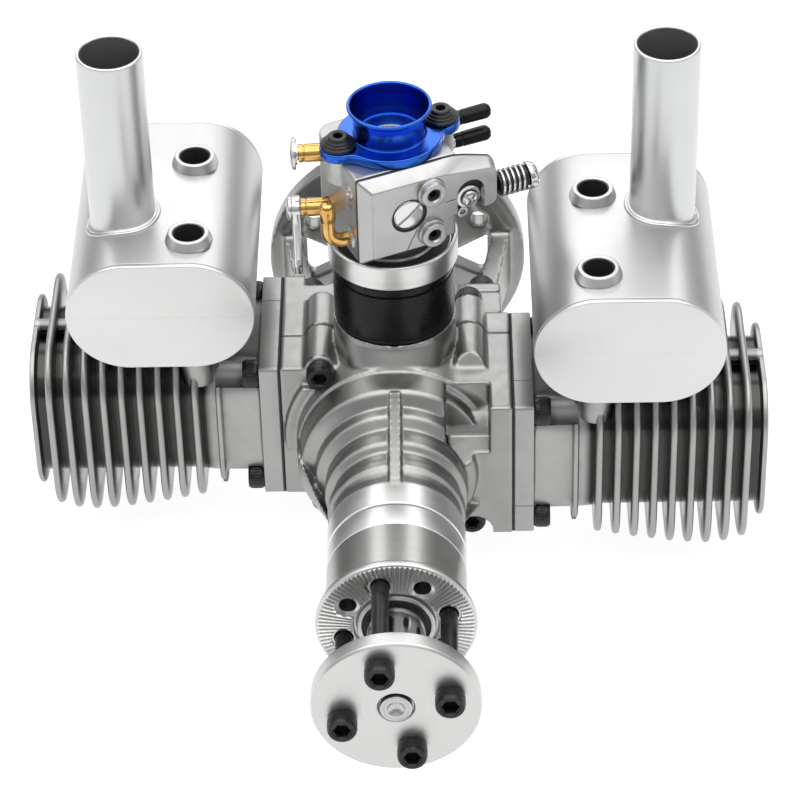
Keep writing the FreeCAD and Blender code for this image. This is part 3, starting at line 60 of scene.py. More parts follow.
# Places that several pieces share
LEFT_Y = -72.0                     # axes of the two cylinders
RIGHT_Y = -92.5
SIDES = ((-1, "left", LEFT_Y), (1, "right", RIGHT_Y))
INTAKE_Y = (LEFT_Y + RIGHT_Y) / 2
SPLIT_Y = -79.0                    # joint between the halves of the crankcase
CASE_X, CASE_Z = 22.7, 24.0        # long screws of the crankcase
FACE_X = 35.2                      # faces of the crankcase that carry the cylinders
FLANGE_X = 41.5                    # outer face of a cylinder's flange
BORE_R, SPIGOT_R = 18.0, 20.5      # inside and outside of a cylinder's foot
SPREAD = 20.0                      # screws on both sides of a cylinder's axis
MOUNT_X, MOUNT_Z = 27, 12          # screws of the rear mount
PROP_R, PROP_TURN = 15.75, 15.7    # circle of the propeller screws, and its first angle
CAN_X, SLEEVE_X = 69.0, 60.0       # middle of a muffler can, and of its screw sleeves
STACK_X, STACK_Y = 80.5, -77.5
CARB_TURN, SHAFT_TURN = 24.5, 4.0  # degrees that the carburettor and its shafts stand turned
EAR_X = 16.4                       # ears of the velocity stack
PLUG_AT = (-2.8, 0, 84.1)          # slotted plug in the carburettor's cover

replaced_nodes = set()


# Node trees


def add_node(tree, kind, **values):
    node = tree.nodes.new(kind)
    for name, value in values.items():
        setattr(node, name, value)
    return node


def wire(tree, pairs):
    for start, end in pairs:
        tree.links.new(start, end)


def math_node(tree, operation, a, b=None):
    node = add_node(tree, "ShaderNodeMath", operation=operation)
    for socket, value in zip(node.inputs, (a, b)):
        if isinstance(value, (int, float)):
            socket.default_value = value
        elif value is not None:
            tree.links.new(value, socket)
    return node.outputs[0]


def new_tree(name, inputs):
    """A geometry tree with named inputs {name: (kind, default)}, and the outputs of its input node."""
    tree = bpy.data.node_groups.new(name, "GeometryNodeTree")
    tree.interface.new_socket("Geometry", in_out="INPUT", socket_type="NodeSocketGeometry")
    for word, (kind, value) in {**inputs, "Finish": ("Material", None)}.items():
        socket = tree.interface.new_socket(word, in_out="INPUT", socket_type="NodeSocket" + kind)
        if value is not None:
            socket.default_value = value
    tree.interface.new_socket("Geometry", in_out="OUTPUT", socket_type="NodeSocketGeometry")
    return tree, tree.nodes.new("NodeGroupInput").outputs


def copies(tree, points, shape, **sockets):
    """The shape on each point, with what drives its turn or size."""
    put = tree.nodes.new("GeometryNodeInstanceOnPoints")
    wire(tree, [(points, put.inputs["Points"]), (shape, put.inputs["Instance"])] +
               [(source, put.inputs[socket]) for socket, source in sockets.items()])
    return put.outputs[0]


def raised(tree, geometry, height):
    lift = tree.nodes.new("GeometryNodeTransform")
    up = tree.nodes.new("ShaderNodeCombineXYZ")
    wire(tree, [(height, up.inputs["Z"]), (geometry, lift.inputs["Geometry"]),
                (up.outputs[0], lift.inputs["Translation"])])
    return lift.outputs[0]


def finish_tree(tree, given, geometry):
    """End a tree as a plain mesh with its finish."""
    real = tree.nodes.new("GeometryNodeRealizeInstances")
    paint = tree.nodes.new("GeometryNodeSetMaterial")
    end = tree.nodes.new("NodeGroupOutput")
    wire(tree, [(geometry, real.inputs[0]), (real.outputs[0], paint.inputs["Geometry"]),
                (given["Finish"], paint.inputs["Material"]), (paint.outputs[0], end.inputs["Geometry"])])
    return tree


# Finishes


def new_finish(name, colour, metallic, roughness, **sockets):
    """A material with its shader, and the object coordinates that its patterns follow."""
    material = bpy.data.materials.new(name)
    material.use_nodes = True
    tree = material.node_tree
    shader = tree.nodes["Principled BSDF"]
    shader.inputs["Base Color"].default_value = (*colour, 1)
    shader.inputs["Metallic"].default_value = metallic
    shader.inputs["Roughness"].default_value = roughness
    for socket, value in sockets.items():
        shader.inputs[socket.replace("_", " ")].default_value = value
    place = tree.nodes.new("ShaderNodeTexCoord")
    return material, tree, shader, place.outputs["Object"]


def link(tree, start, end):
    tree.links.new(start, end)


def grain(tree, where, scale, detail=3.0, rough=0.6, stretch=None):
    """Noise on object coordinates; stretch draws it out along an axis."""
    noise = tree.nodes.new("ShaderNodeTexNoise")
    noise.inputs["Scale"].default_value = scale
    noise.inputs["Detail"].default_value = detail
    noise.inputs["Roughness"].default_value = rough
    if stretch is not None:
        mapping = tree.nodes.new("ShaderNodeMapping")
        mapping.inputs["Scale"].default_value = stretch
        link(tree, where, mapping.inputs["Vector"])
        where = mapping.outputs["Vector"]
    link(tree, where, noise.inputs["Vector"])
    return noise.outputs["Fac"]


def spread(tree, factor, low, high):
    """A value moved to run from low to high."""
    change = tree.nodes.new("ShaderNodeMapRange")
    change.inputs["From Min"].default_value = 0.3
    change.inputs["From Max"].default_value = 0.7
    change.inputs["To Min"].default_value = low
    change.inputs["To Max"].default_value = high
    link(tree, factor, change.inputs["Value"])
    return change.outputs["Result"]


def two_tones(tree, factor, dark, light, shader):
    """Colour that drifts between two tones."""
    ramp = tree.nodes.new("ShaderNodeValToRGB")
    ramp.color_ramp.elements[0].position = 0.32
    ramp.color_ramp.elements[1].position = 0.68
    ramp.color_ramp.elements[0].color = (*dark, 1)
    ramp.color_ramp.elements[1].color = (*light, 1)
    link(tree, factor, ramp.inputs["Fac"])
    link(tree, ramp.outputs["Color"], shader.inputs["Base Color"])
    return ramp


def relief(tree, height, shader, distance, strength=1.0, edge=0.0):
    """Fine relief on a softened edge."""
    bump = tree.nodes.new("ShaderNodeBump")
    bump.inputs["Strength"].default_value = strength
    bump.inputs["Distance"].default_value = distance * MM
    link(tree, height, bump.inputs["Height"])
    if edge > 0:
        bevel = tree.nodes.new("ShaderNodeBevel")
        bevel.samples = 4
        bevel.inputs["Radius"].default_value = edge * MM
        link(tree, bevel.outputs["Normal"], bump.inputs["Normal"])
    link(tree, bump.outputs["Normal"], shader.inputs["Normal"])
    return bump


def turning_marks(tree, where, centre, axis, fine):
    """Lathe marks: a pattern that only knows the distance from an axis and the place along it."""
    mapping = tree.nodes.new("ShaderNodeMapping")
    mapping.inputs["Location"].default_value = [-c * MM for c in centre]
    link(tree, where, mapping.inputs["Vector"])
    flat = tree.nodes.new("ShaderNodeVectorMath")
    flat.operation = "MULTIPLY"
    flat.inputs[1].default_value = [0.0 if i == axis else 1.0 for i in range(3)]
    link(tree, mapping.outputs["Vector"], flat.inputs[0])
    radius = tree.nodes.new("ShaderNodeVectorMath")
    radius.operation = "LENGTH"
    link(tree, flat.outputs["Vector"], radius.inputs[0])
    parts = tree.nodes.new("ShaderNodeSeparateXYZ")
    link(tree, mapping.outputs["Vector"], parts.inputs["Vector"])
    both = tree.nodes.new("ShaderNodeCombineXYZ")
    link(tree, radius.outputs["Value"], both.inputs["X"])
    link(tree, parts.outputs[axis], both.inputs["Y"])
    noise = tree.nodes.new("ShaderNodeTexNoise")
    noise.noise_dimensions = "2D"
    noise.inputs["Scale"].default_value = fine
    noise.inputs["Detail"].default_value = 2.0
    link(tree, both.outputs["Vector"], noise.inputs["Vector"])
    return noise.outputs["Fac"]


def blasted_metal(name, dark, light, roughness, grit, edge, relief_depth=0.02, drift=0.05):
    """Cast or sheet aluminium after bead blasting: a fine grit and a slow drift in tone."""
    material, tree, shader, where = new_finish(name, light, 1.0, roughness)
    two_tones(tree, grain(tree, where, 55.0, 4.0), dark, light, shader)
    link(tree, spread(tree, grain(tree, where, 240.0, 3.0), roughness - drift, roughness + drift),
         shader.inputs["Roughness"])
    relief(tree, grain(tree, where, grit, 2.0), shader, relief_depth, 0.8, edge)
    return material


def turned_metal(name, dark, light, roughness, centre=(0, 0, 0), axis=1, edge=0.25, fine=2600.0):
    """Metal from the lathe: rings round its axis, in tone, gloss and relief."""
    material, tree, shader, where = new_finish(name, light, 1.0, roughness)
    rings = turning_marks(tree, where, centre, axis, fine)
    two_tones(tree, rings, dark, light, shader)
    link(tree, spread(tree, turning_marks(tree, where, centre, axis, fine * 0.35), roughness - 0.02,
                      roughness + 0.03), shader.inputs["Roughness"])
    relief(tree, rings, shader, 0.0015, 0.5, edge)
    return material


def black_oxide():
    material, tree, shader, where = new_finish("black_oxide_steel", (0.008, 0.008, 0.009), 0.0, 0.32,
                                               Specular_IOR_Level=0.35)
    two_tones(tree, grain(tree, where, 300.0, 3.0), (0.005, 0.005, 0.006), (0.012, 0.012, 0.013), shader)
    link(tree, spread(tree, grain(tree, where, 900.0), 0.24, 0.38), shader.inputs["Roughness"])
    relief(tree, grain(tree, where, 2500.0, 2.0), shader, 0.008, 0.6, 0.2)
    return material


def polished_brass():
    material, tree, shader, where = new_finish("polished_brass", (0.62, 0.37, 0.12), 1.0, 0.16)
    two_tones(tree, grain(tree, where, 220.0, 3.0), (0.55, 0.31, 0.09), (0.69, 0.43, 0.15), shader)
    link(tree, spread(tree, grain(tree, where, 700.0), 0.10, 0.22), shader.inputs["Roughness"])
    relief(tree, grain(tree, where, 3000.0, 2.0), shader, 0.003, 0.5, 0.15)
    return material


def blue_anodising():
    centre = (0, INTAKE_Y, 0)
    material, tree, shader, where = new_finish("blue_anodising", (0.01, 0.10, 0.50), 1.0, 0.22,
                                               Coat_Weight=0.35, Coat_Roughness=0.12)
    rings = turning_marks(tree, where, centre, 2, 2200.0)
    two_tones(tree, rings, (0.010, 0.088, 0.47), (0.012, 0.10, 0.52), shader)
    link(tree, spread(tree, grain(tree, where, 60.0), 0.20, 0.26), shader.inputs["Roughness"])
    relief(tree, rings, shader, 0.001, 0.4, 0.3)
    return material


def satin_black_plastic():
    material, tree, shader, where = new_finish("satin_black_plastic", (0.004, 0.004, 0.004), 0.0, 0.30,
                                               Specular_IOR_Level=0.2)
    two_tones(tree, grain(tree, where, 180.0), (0.003, 0.003, 0.003), (0.006, 0.006, 0.006), shader)
    link(tree, spread(tree, grain(tree, where, 1200.0), 0.24, 0.34), shader.inputs["Roughness"])
    relief(tree, grain(tree, where, 2200.0), shader, 0.006, 0.5, 0.3)
    return material


def dull_sheet(name, dark, light, roughness):
    """Gasket sheet or seal rubber: matte, with short fibres."""
    material, tree, shader, where = new_finish(name, dark, 0.0, roughness)
    two_tones(tree, grain(tree, where, 1400.0, 4.0, 0.7, (1.0, 1.0, 5.0)), dark, light, shader)
    link(tree, spread(tree, grain(tree, where, 600.0), roughness - 0.1, min(1.0, roughness + 0.1)),
         shader.inputs["Roughness"])
    relief(tree, grain(tree, where, 1800.0), shader, 0.02, 0.6)
    return material


def finned_metal_with_painted_shade(name, centre_y):
    """Cast aluminium with painted shade and more gloss deep between the fins, and no painted shade at their
    rims, the neck and the head.
    """
    material = blasted_metal(name, (0.33, 0.332, 0.325), (0.38, 0.38, 0.372), 0.40, 1500.0, 0.3, 0.01)
    tree = material.node_tree
    shader = next(node for node in tree.nodes if node.type == "BSDF_PRINCIPLED")
    where = next(node for node in tree.nodes if node.type == "TEX_COORD").outputs["Object"]
    parts = tree.nodes.new("ShaderNodeSeparateXYZ")
    link(tree, where, parts.inputs["Vector"])

    def reckon(operation, first, second=None):
        return math_node(tree, operation, first, second)

    def ramp(value, start, end):
        """Zero at the start and one at the end."""
        return reckon("DIVIDE", reckon("SUBTRACT", value, start * MM), (end - start) * MM)

    # the reach from the axis counts as in a rounded square, like the fins' own outline
    across = reckon("POWER", reckon("ABSOLUTE", reckon("SUBTRACT", parts.outputs["Y"], centre_y * MM)), 4.0)
    upright = reckon("POWER", reckon("ABSOLUTE", parts.outputs["Z"]), 4.0)
    reach = reckon("POWER", reckon("ADD", across, upright), 0.25)
    along = reckon("ABSOLUTE", parts.outputs["X"])
    out_of_painted_shade = ramp(reach, 24.3, 27.7)
    for other in (ramp(along, 58.5, 56.5), ramp(along, 109.2, 109.6), 0.0):
        out_of_painted_shade = reckon("MAXIMUM", out_of_painted_shade, other)
    out_of_painted_shade = reckon("MINIMUM", out_of_painted_shade, 1.0)
    # Painted shade: deep between the fins the colour turns dark, as if shaded; at the rims, the neck and the
    # head it keeps the cast tone.
    mix = add_node(tree, "ShaderNodeMix", data_type="RGBA")
    mix.inputs["A"].default_value = (0.055, 0.055, 0.052, 1)
    gloss = shader.inputs["Roughness"].links[0].from_socket
    dulling = reckon("ADD", reckon("MULTIPLY", out_of_painted_shade, 0.5), 0.5)
    colour = shader.inputs["Base Color"]
    wire(tree, [(out_of_painted_shade, mix.inputs["Factor"]), (colour.links[0].from_socket, mix.inputs["B"]),
                (mix.outputs["Result"], colour),
                (reckon("MULTIPLY", gloss, dulling), shader.inputs["Roughness"])])
    return material


cast = blasted_metal("blasted_cast_aluminium", (0.295, 0.297, 0.29), (0.34, 0.34, 0.332), 0.37, 1500.0,
                     0.4, 0.01)
fin_left = finned_metal_with_painted_shade("blasted_fin_aluminium_left", LEFT_Y)
fin_right = finned_metal_with_painted_shade("blasted_fin_aluminium_right", RIGHT_Y)
sheet = blasted_metal("blasted_sheet_aluminium", (0.52, 0.525, 0.52), (0.545, 0.55, 0.545), 0.38, 2200.0,
                      0.4, 0.003, 0.015)
end_sheet = blasted_metal("blasted_end_plates", (0.62, 0.623, 0.615), (0.64, 0.643, 0.635), 0.40, 2200.0,
                          0.3, 0.003, 0.015)
carb_cast = blasted_metal("die_cast_carburettor_alloy", (0.40, 0.404, 0.40), (0.44, 0.442, 0.436), 0.36,
                          1800.0, 0.3, 0.006)
turned = turned_metal("turned_aluminium", (0.55, 0.553, 0.54), (0.59, 0.59, 0.58), 0.34)
turned_ring = turned_metal("turned_magnet_ring", (0.79, 0.795, 0.79), (0.83, 0.83, 0.825), 0.36)
turned_upright = turned_metal("turned_clamp_ring", (0.62, 0.62, 0.61), (0.66, 0.66, 0.65), 0.32,
                              (0, INTAKE_Y, 0), 2, 0.25, 1500.0)
drawn_tube = blasted_metal("drawn_tube", (0.575, 0.58, 0.58), (0.59, 0.595, 0.595), 0.34, 2200.0,
                           0.3, 0.0008, 0.01)
ground_steel = turned_metal("ground_steel", (0.42, 0.42, 0.42), (0.54, 0.54, 0.54), 0.26)
bright_steel = blasted_metal("polished_steel", (0.60, 0.60, 0.60), (0.66, 0.66, 0.66), 0.16, 2600.0,
                             0.15, 0.001)
black = black_oxide()
brass = polished_brass()
blue = blue_anodising()
plastic = satin_black_plastic()
gasket = dull_sheet("fibre_gasket", (0.02, 0.02, 0.02), (0.05, 0.05, 0.048), 0.8)
rubber = dull_sheet("seal_rubber", (0.012, 0.011, 0.011), (0.03, 0.028, 0.028), 0.6)

by_slot = {"cast_aluminium": cast, "cylinder_aluminium": cast, "muffler_aluminium": sheet,
           "machined_aluminium": turned, "magnet_ring": turned_ring, "black_screws": black,
           "steel": ground_steel, "bright_steel": bright_steel, "brass": brass, "blue_anodised": blue,
           "black_plastic": plastic, "carburettor_alloy": carb_cast, "gasket": gasket,
           "seal_rubber": rubber}


# Shapes


def mesh_from(name, points, faces):
    mesh = bpy.data.meshes.new(name)
    points = np.asarray(points, float) * MM
    mesh.from_pydata([tuple(p) for p in points], [], faces)
    mesh.validate()
    return mesh


def weld(mesh, distance=0.01):
    """Merge doubled points and turn every face outwards."""
    bm = bmesh.new()
    bm.from_mesh(mesh)
    bmesh.ops.remove_doubles(bm, verts=bm.verts, dist=distance * MM)
    bmesh.ops.recalc_face_normals(bm, faces=bm.faces)
    bm.to_mesh(mesh)
    bm.free()
    return mesh


def as_object(name, mesh, material=None):
    if material is not None:
        mesh.materials.clear()
        mesh.materials.append(material)
    obj = bpy.data.objects.new(name, mesh)
    bpy.context.scene.collection.objects.link(obj)
    return obj


def settled(obj):
    """The object's mesh with its modifiers worked in, and the object taken away."""
    graph = bpy.context.evaluated_depsgraph_get()
    mesh = bpy.data.meshes.new_from_object(obj.evaluated_get(graph))
    name = obj.name
    bpy.data.objects.remove(obj)
    mesh.name = name
    return mesh


def drop(obj):
    bpy.data.objects.remove(obj)


def joined(meshes):
    """Several meshes as one."""
    bm = bmesh.new()
    for mesh in meshes:
        bm.from_mesh(mesh)
    whole = bpy.data.meshes.new(meshes[0].name)
    bm.to_mesh(whole)
    bm.free()
    return whole


def shifted(mesh, matrix):
    """A moved copy of a mesh; the matrix is in millimetres."""
    copy = mesh.copy()
    moved = matrix.copy()
    for row in range(3):
        moved[row][3] *= MM
    copy.transform(moved)
    return copy


def move(x, y, z):
    return Matrix.Translation((x, y, z))


def turn(degrees, axis):
    return Matrix.Rotation(math.radians(degrees), 4, axis)


def finished(name, mesh, slot, nodes=(), body="engine", material=None, sharp=32.0):
    """A piece of the engine in its place, smooth except at edges sharper than so many degrees."""
    mesh.materials.clear()
    mesh.materials.append(material or by_slot[slot])
    for polygon in mesh.polygons:
        polygon.material_index = 0
    mesh.shade_smooth()
    mesh.set_sharp_from_angle(angle=math.radians(sharp))
    obj = as_object(name, mesh)
    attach(obj, body)
    if nodes:
        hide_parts(*nodes)
        replaced_nodes.update(nodes)


def cut_out(mesh, tools):
    """A mesh with tool meshes cut from it."""
    obj = as_object("cut", mesh)
    tool = as_object("tool", joined(tools))
    change = obj.modifiers.new("cut", "BOOLEAN")
    change.operation = "DIFFERENCE"
    change.solver = "EXACT"
    change.use_self = True
    change.object = tool
    result = settled(obj)
    drop(tool)
    return result


def soften(outline, radius, steps=3):
    """Round the corners of a closed outline of (a, b) or (a, b, own radius) points."""
    result = []
    count = len(outline)
    for i in range(count):
        here = Vector(outline[i][:2])
        own = outline[i][2] if len(outline[i]) > 2 else radius
        before = Vector(outline[i - 1][:2]) - here
        after = Vector(outline[(i + 1) % count][:2]) - here
        if own <= 0 or before.length < 1e-6 or after.length < 1e-6:
            result.append((here.x, here.y))
            continue
        a = here + before.normalized() * min(own, before.length * 0.45)
        b = here + after.normalized() * min(own, after.length * 0.45)
        for k in range(steps + 1):
            t = k / steps
            p = a * (1 - t) ** 2 + here * 2 * t * (1 - t) + b * t ** 2
            result.append((p.x, p.y))
    return result


def lathe(outline, centre=(0, 0, 0), axis="Y", steps=96):
    """A closed outline of (along, radius) points turned about an axis."""
    points = []
    for along, radius in outline:
        for k in range(steps):
            a = 2 * math.pi * k / steps
            u, v = max(radius, 0.0) * math.cos(a), max(radius, 0.0) * math.sin(a)
            spot = {"X": (along, u, v), "Y": (v, along, u), "Z": (u, v, along)}[axis]
            points.append([spot[i] + centre[i] for i in range(3)])
    faces = []
    rings = len(outline)
    for i in range(rings):
        j = (i + 1) % rings
        if outline[i][1] <= 1e-6 and outline[j][1] <= 1e-6:
            continue
        for k in range(steps):
            m = (k + 1) % steps
            faces.append((i * steps + k, i * steps + m, j * steps + m, j * steps + k))
    return weld(mesh_from("turned", points, faces), 0.002)


def peg(start, end, radius, centre=(0, 0, 0), axis="Y", steps=96):
    """A plain rod along an axis."""
    return lathe([(start, 0), (start, radius), (end, radius), (end, 0)], centre, axis, steps)


def rounded_square(half_u, half_v, corner, per_corner=12):
    """A rounded rectangle with the same number of points in each corner."""
    corner = min(corner, half_u, half_v)
    points = []
    for q, (su, sv) in enumerate(((1, 1), (-1, 1), (-1, -1), (1, -1))):
        for k in range(per_corner + 1):
            a = math.radians(90 * q + 90 * k / per_corner)
            points.append((su * (half_u - corner) + corner * math.cos(a),
                           sv * (half_v - corner) + corner * math.sin(a)))
    return points


def inset(outline, amount):
    """A closed anticlockwise outline moved inwards."""
    result = []
    count = len(outline)
    for i in range(count):
        p = Vector(outline[i])
        a = Vector(outline[(i + 1) % count]) - Vector(outline[i - 1])
        if a.length < 1e-9:
            result.append(tuple(p))
            continue
        normal = Vector((-a.y, a.x)).normalized()
        result.append(tuple(p + normal * amount))
    return result


def plate(outline, low, high, edge=0.3, steps=3, axis="Z"):
    """A closed outline raised along an axis, with rounded rims."""
    turns = [math.pi / 2 * k / steps for k in range(steps + 1)]
    rims = [(low + edge * (1 - math.cos(a)), edge * (1 - math.sin(a))) for a in turns]
    rims += [(high - place + low, pull) for place, pull in reversed(rims)]
    loops = []
    for place, pull in rims:
        loop = inset(outline, pull)
        if axis == "Z":
            loops.append([(u, v, place) for u, v in loop])
        elif axis == "Y":
            loops.append([(u, place, v) for u, v in loop])
        else:
            loops.append([(place, u, v) for u, v in loop])
    return skin(loops)


def block(x0, x1, y0, y1, z0, z1):
    return plate([(x0, y0), (x1, y0), (x1, y1), (x0, y1)], z0, z1, 0.0, 1)


def swept(path, radius, sides=20, closed=False):
    """A round bar along a path; radius is a number or one number per point."""
    spots = [Vector(p) for p in path]
    count = len(spots)
    radii = [radius] * count if isinstance(radius, (int, float)) else radius
    loops = []
    across = None
    for i, spot in enumerate(spots):
        if closed:
            ahead = (spots[(i + 1) % count] - spots[i - 1]).normalized()
        else:
            ahead = (spots[min(i + 1, count - 1)] - spots[max(i - 1, 0)]).normalized()
        if across is None:
            across = ahead.orthogonal().normalized()
        across = (across - ahead * across.dot(ahead)).normalized()
        other = ahead.cross(across)
        loops.append([tuple(spot + (across * math.cos(a) + other * math.sin(a)) * radii[i])
                      for a in (2 * math.pi * k / sides for k in range(sides))])
    if closed:
        loops.append(loops[0])
    return skin(loops, not closed)


def blended_outline(circles, blend, points=180):
    """The outline round several circles whose gaps are filled by a soft blend, as seen from the middle."""
    outline = []
    for k in range(points):
        a = 2 * math.pi * k / points
        inner, outer = 0.0, 60.0
        for _ in range(30):
            middle = (inner + outer) / 2
            u, v = middle * math.cos(a), middle * math.sin(a)
            gap = 1e3
            for cu, cv, radius in circles:
                gap = float(smooth_min(gap, math.hypot(u - cu, v - cv) - radius, blend))
            if gap < 0:
                inner = middle
            else:
                outer = middle
        outline.append((inner * math.cos(a), inner * math.sin(a)))
    return outline


def skin(loops, closed_ends=True):
    """A skin over loops of the same number of points."""
    count = len(loops[0])
    points = [p for loop in loops for p in loop]
    faces = []
    for i in range(len(loops) - 1):
        for k in range(count):
            m = (k + 1) % count
            faces.append((i * count + k, i * count + m, (i + 1) * count + m, (i + 1) * count + k))
    if closed_ends:
        faces.append(tuple(reversed(range(count))))
        faces.append(tuple(range((len(loops) - 1) * count, len(loops) * count)))
    mesh = mesh_from("skin", points, faces)
    return weld(mesh, 0.002)


# Cast forms with soft blends


class Casting:
    """A solid as distances on a grid, so that forms flow into each other as in a casting."""

    def __init__(self, low, high, step):
        self.low = np.array(low, float)
        self.step = step
        axes = [np.arange(low[i], high[i] + step, step) for i in range(3)]
        self.x, self.y, self.z = np.meshgrid(*axes, indexing="ij")
        self.field = np.full(self.x.shape, 1e3)

    def add(self, distance, blend=0.0):
        self.field = smooth_min(self.field, distance, blend)

    def take(self, distance, blend=0.0):
        self.field = -smooth_min(-self.field, distance, blend)

    def keep(self, distance, blend=0.0):
        self.field = -smooth_min(-self.field, -distance, blend)

    def box(self, x0, x1, y0, y1, z0, z1, corner=0.0):
        dx = np.abs(self.x - (x0 + x1) / 2) - (x1 - x0) / 2 + corner
        dy = np.abs(self.y - (y0 + y1) / 2) - (y1 - y0) / 2 + corner
        dz = np.abs(self.z - (z0 + z1) / 2) - (z1 - z0) / 2 + corner
        outside = np.sqrt(np.maximum(dx, 0) ** 2 + np.maximum(dy, 0) ** 2 + np.maximum(dz, 0) ** 2)
        return outside + np.minimum(np.maximum(dx, np.maximum(dy, dz)), 0) - corner

    def rod_y(self, x, z, radius, y0, y1, corner=0.0):
        return self._rod(np.hypot(self.x - x, self.z - z), self.y, radius, y0, y1, corner)

    def rod_z(self, x, y, radius, z0, z1, corner=0.0):
        return self._rod(np.hypot(self.x - x, self.y - y), self.z, radius, z0, z1, corner)

    def rod_x(self, y, z, radius, x0, x1, corner=0.0):
        return self._rod(np.hypot(self.y - y, self.z - z), self.x, radius, x0, x1, corner)

    def _rod(self, across, along, radius, a0, a1, corner):
        d = across - radius + corner
        e = np.abs(along - (a0 + a1) / 2) - (a1 - a0) / 2 + corner
        return np.minimum(np.maximum(d, e), 0) + np.hypot(np.maximum(d, 0), np.maximum(e, 0)) - corner

    def prism(self, x0, x1, y0, y1, z0, z1, corner, edge):
        """An upright block whose standing corners are rounder than its rims."""
        dx = np.abs(self.x - (x0 + x1) / 2) - (x1 - x0) / 2 + corner
        dy = np.abs(self.y - (y0 + y1) / 2) - (y1 - y0) / 2 + corner
        across = np.hypot(np.maximum(dx, 0), np.maximum(dy, 0)) + np.minimum(np.maximum(dx, dy), 0) - corner
        return self._rod(across, self.z, 0.0, z0, z1, edge)

    def rod_level(self, degrees, z, radius, a0, a1, corner=0.0):
        """A level rod through the upright axis, turned away from X."""
        c, s = math.cos(math.radians(degrees)), math.sin(math.radians(degrees))
        across = np.hypot(self.y * c - self.x * s, self.z - z)
        return self._rod(across, self.x * c + self.y * s, radius, a0, a1, corner)

    def cone_y(self, rings):
        """A form turned about the Y axis, its radius read from (place, radius) rings."""
        places = np.array([r[0] for r in rings])[::-1]
        radii = np.array([r[1] for r in rings])[::-1]
        radius = np.interp(self.y, places, radii)
        slope = np.interp(self.y, places, np.gradient(radii, places))
        return (np.hypot(self.x, self.z) - radius) / np.sqrt(1 + slope ** 2)

    def skin(self):
        """The surface through zero, as quads that lie on it."""
        f = self.field
        inside = f < 0
        shape = tuple(n - 1 for n in f.shape)
        corners = [(i, j, k) for i in (0, 1) for j in (0, 1) for k in (0, 1)]

        def at(source, c):
            return source[c[0]:c[0] + shape[0], c[1]:c[1] + shape[1], c[2]:c[2] + shape[2]]

        count = sum(at(inside, c).astype(np.int8) for c in corners)
        active = (count > 0) & (count < 8)
        values = {c: at(f, c)[active] for c in corners}
        total = np.zeros((active.sum(), 3))
        hits = np.zeros(active.sum())
        for c in corners:
            for axis in range(3):
                if c[axis]:
                    continue
                other = tuple(1 if i == axis else c[i] for i in range(3))
                a, b = values[c], values[other]
                cross = (a < 0) != (b < 0)
                t = np.where(cross, a / np.where(cross, a - b, 1.0), 0.0)
                spot = np.repeat(np.array(c, float)[None], len(a), 0)
                spot[:, axis] += t
                total += np.where(cross[:, None], spot, 0.0)
                hits += cross
        cells = np.argwhere(active)
        points = (cells + total / hits[:, None]) * self.step + self.low
        index = np.full(active.shape, -1)
        index[active] = np.arange(len(cells))
        faces = []
        for axis in range(3):
            u, v = (axis + 1) % 3, (axis + 2) % 3
            lower = [slice(1, -1)] * 3
            upper = [slice(1, -1)] * 3
            lower[axis] = slice(0, -1)
            upper[axis] = slice(1, None)
            a, b = inside[tuple(lower)], inside[tuple(upper)]
            for leaving in (True, False):
                spots = np.argwhere((a & ~b) if leaving else (~a & b))
                offset = np.ones(3, int)
                offset[axis] = 0
                spots = spots + offset
                quad = []
                for du, dv in ((0, 0), (-1, 0), (-1, -1), (0, -1)):
                    cell = spots.copy()
                    cell[:, u] += du
                    cell[:, v] += dv
                    quad.append(index[cell[:, 0], cell[:, 1], cell[:, 2]])
                quad = np.stack(quad, 1)
                faces.append(quad if leaving else quad[:, ::-1])
        faces = np.concatenate(faces)
        mesh = bpy.data.meshes.new("casting")
        mesh.from_pydata((points * MM).tolist(), [], faces.tolist())
        return mesh


def smooth_min(a, b, blend):
    if blend <= 0:
        return np.minimum(a, b)
    h = np.clip(0.5 + 0.5 * (b - a) / blend, 0.0, 1.0)
    return b * (1 - h) + a * h - blend * h * (1 - h)


# Crankcase

BARREL_R = 30.4
STEP_X = 28.2          # where the relieved part of the blocks ends
BORE_WALL_R = 19.8
# (y, radius) of the cone's outline
TERRACES = [(-100.0, 29.8), (-109.4, 29.2), (-112.4, 28.9), (-113.4, 28.0), (-115.3, 24.6), (-118.6, 24.4),
            (-119.4, 23.8), (-121.6, 21.1), (-124.2, 21.6), (-127.5, 21.5), (-128.4, 20.9), (-129.8, 19.2),
            (-133.2, 19.3), (-134.4, 20.6), (-137.4, 20.5), (-138.6, 19.6), (-140.6, 19.2), (-144.6, 20.3),
            (-152.0, 20.3)]


def crankcase():
    """The two halves of the crankcase, split square to the crank."""
    form = Casting((-37.5, -153.6, -32.5), (37.5, -42.0, 37.5), 0.6)
    form.add(form.rod_y(0, 0, BARREL_R, -104.2, -53.0, 0.5))
    rear_cone = form.cone_y([(-53.0, BARREL_R), (-48.0, 25.0)])
    form.add(np.maximum(rear_cone, np.abs(form.y + 51.5) - 3.5), 1.0)
    form.add(form.rod_y(0, 0, 19.5, -50.0, -43.0, 0.6), 1.0)
    add_blocks(form)
    add_cone(form)
    add_bosses(form)
    hollow_out(form)
    whole = form.field.copy()
    halves = []
    for side in (form.y - SPLIT_Y, SPLIT_Y - form.y):
        form.field = -smooth_min(-whole, -(side + 0.12), 0.5)
        halves.append(form.skin())
    return halves


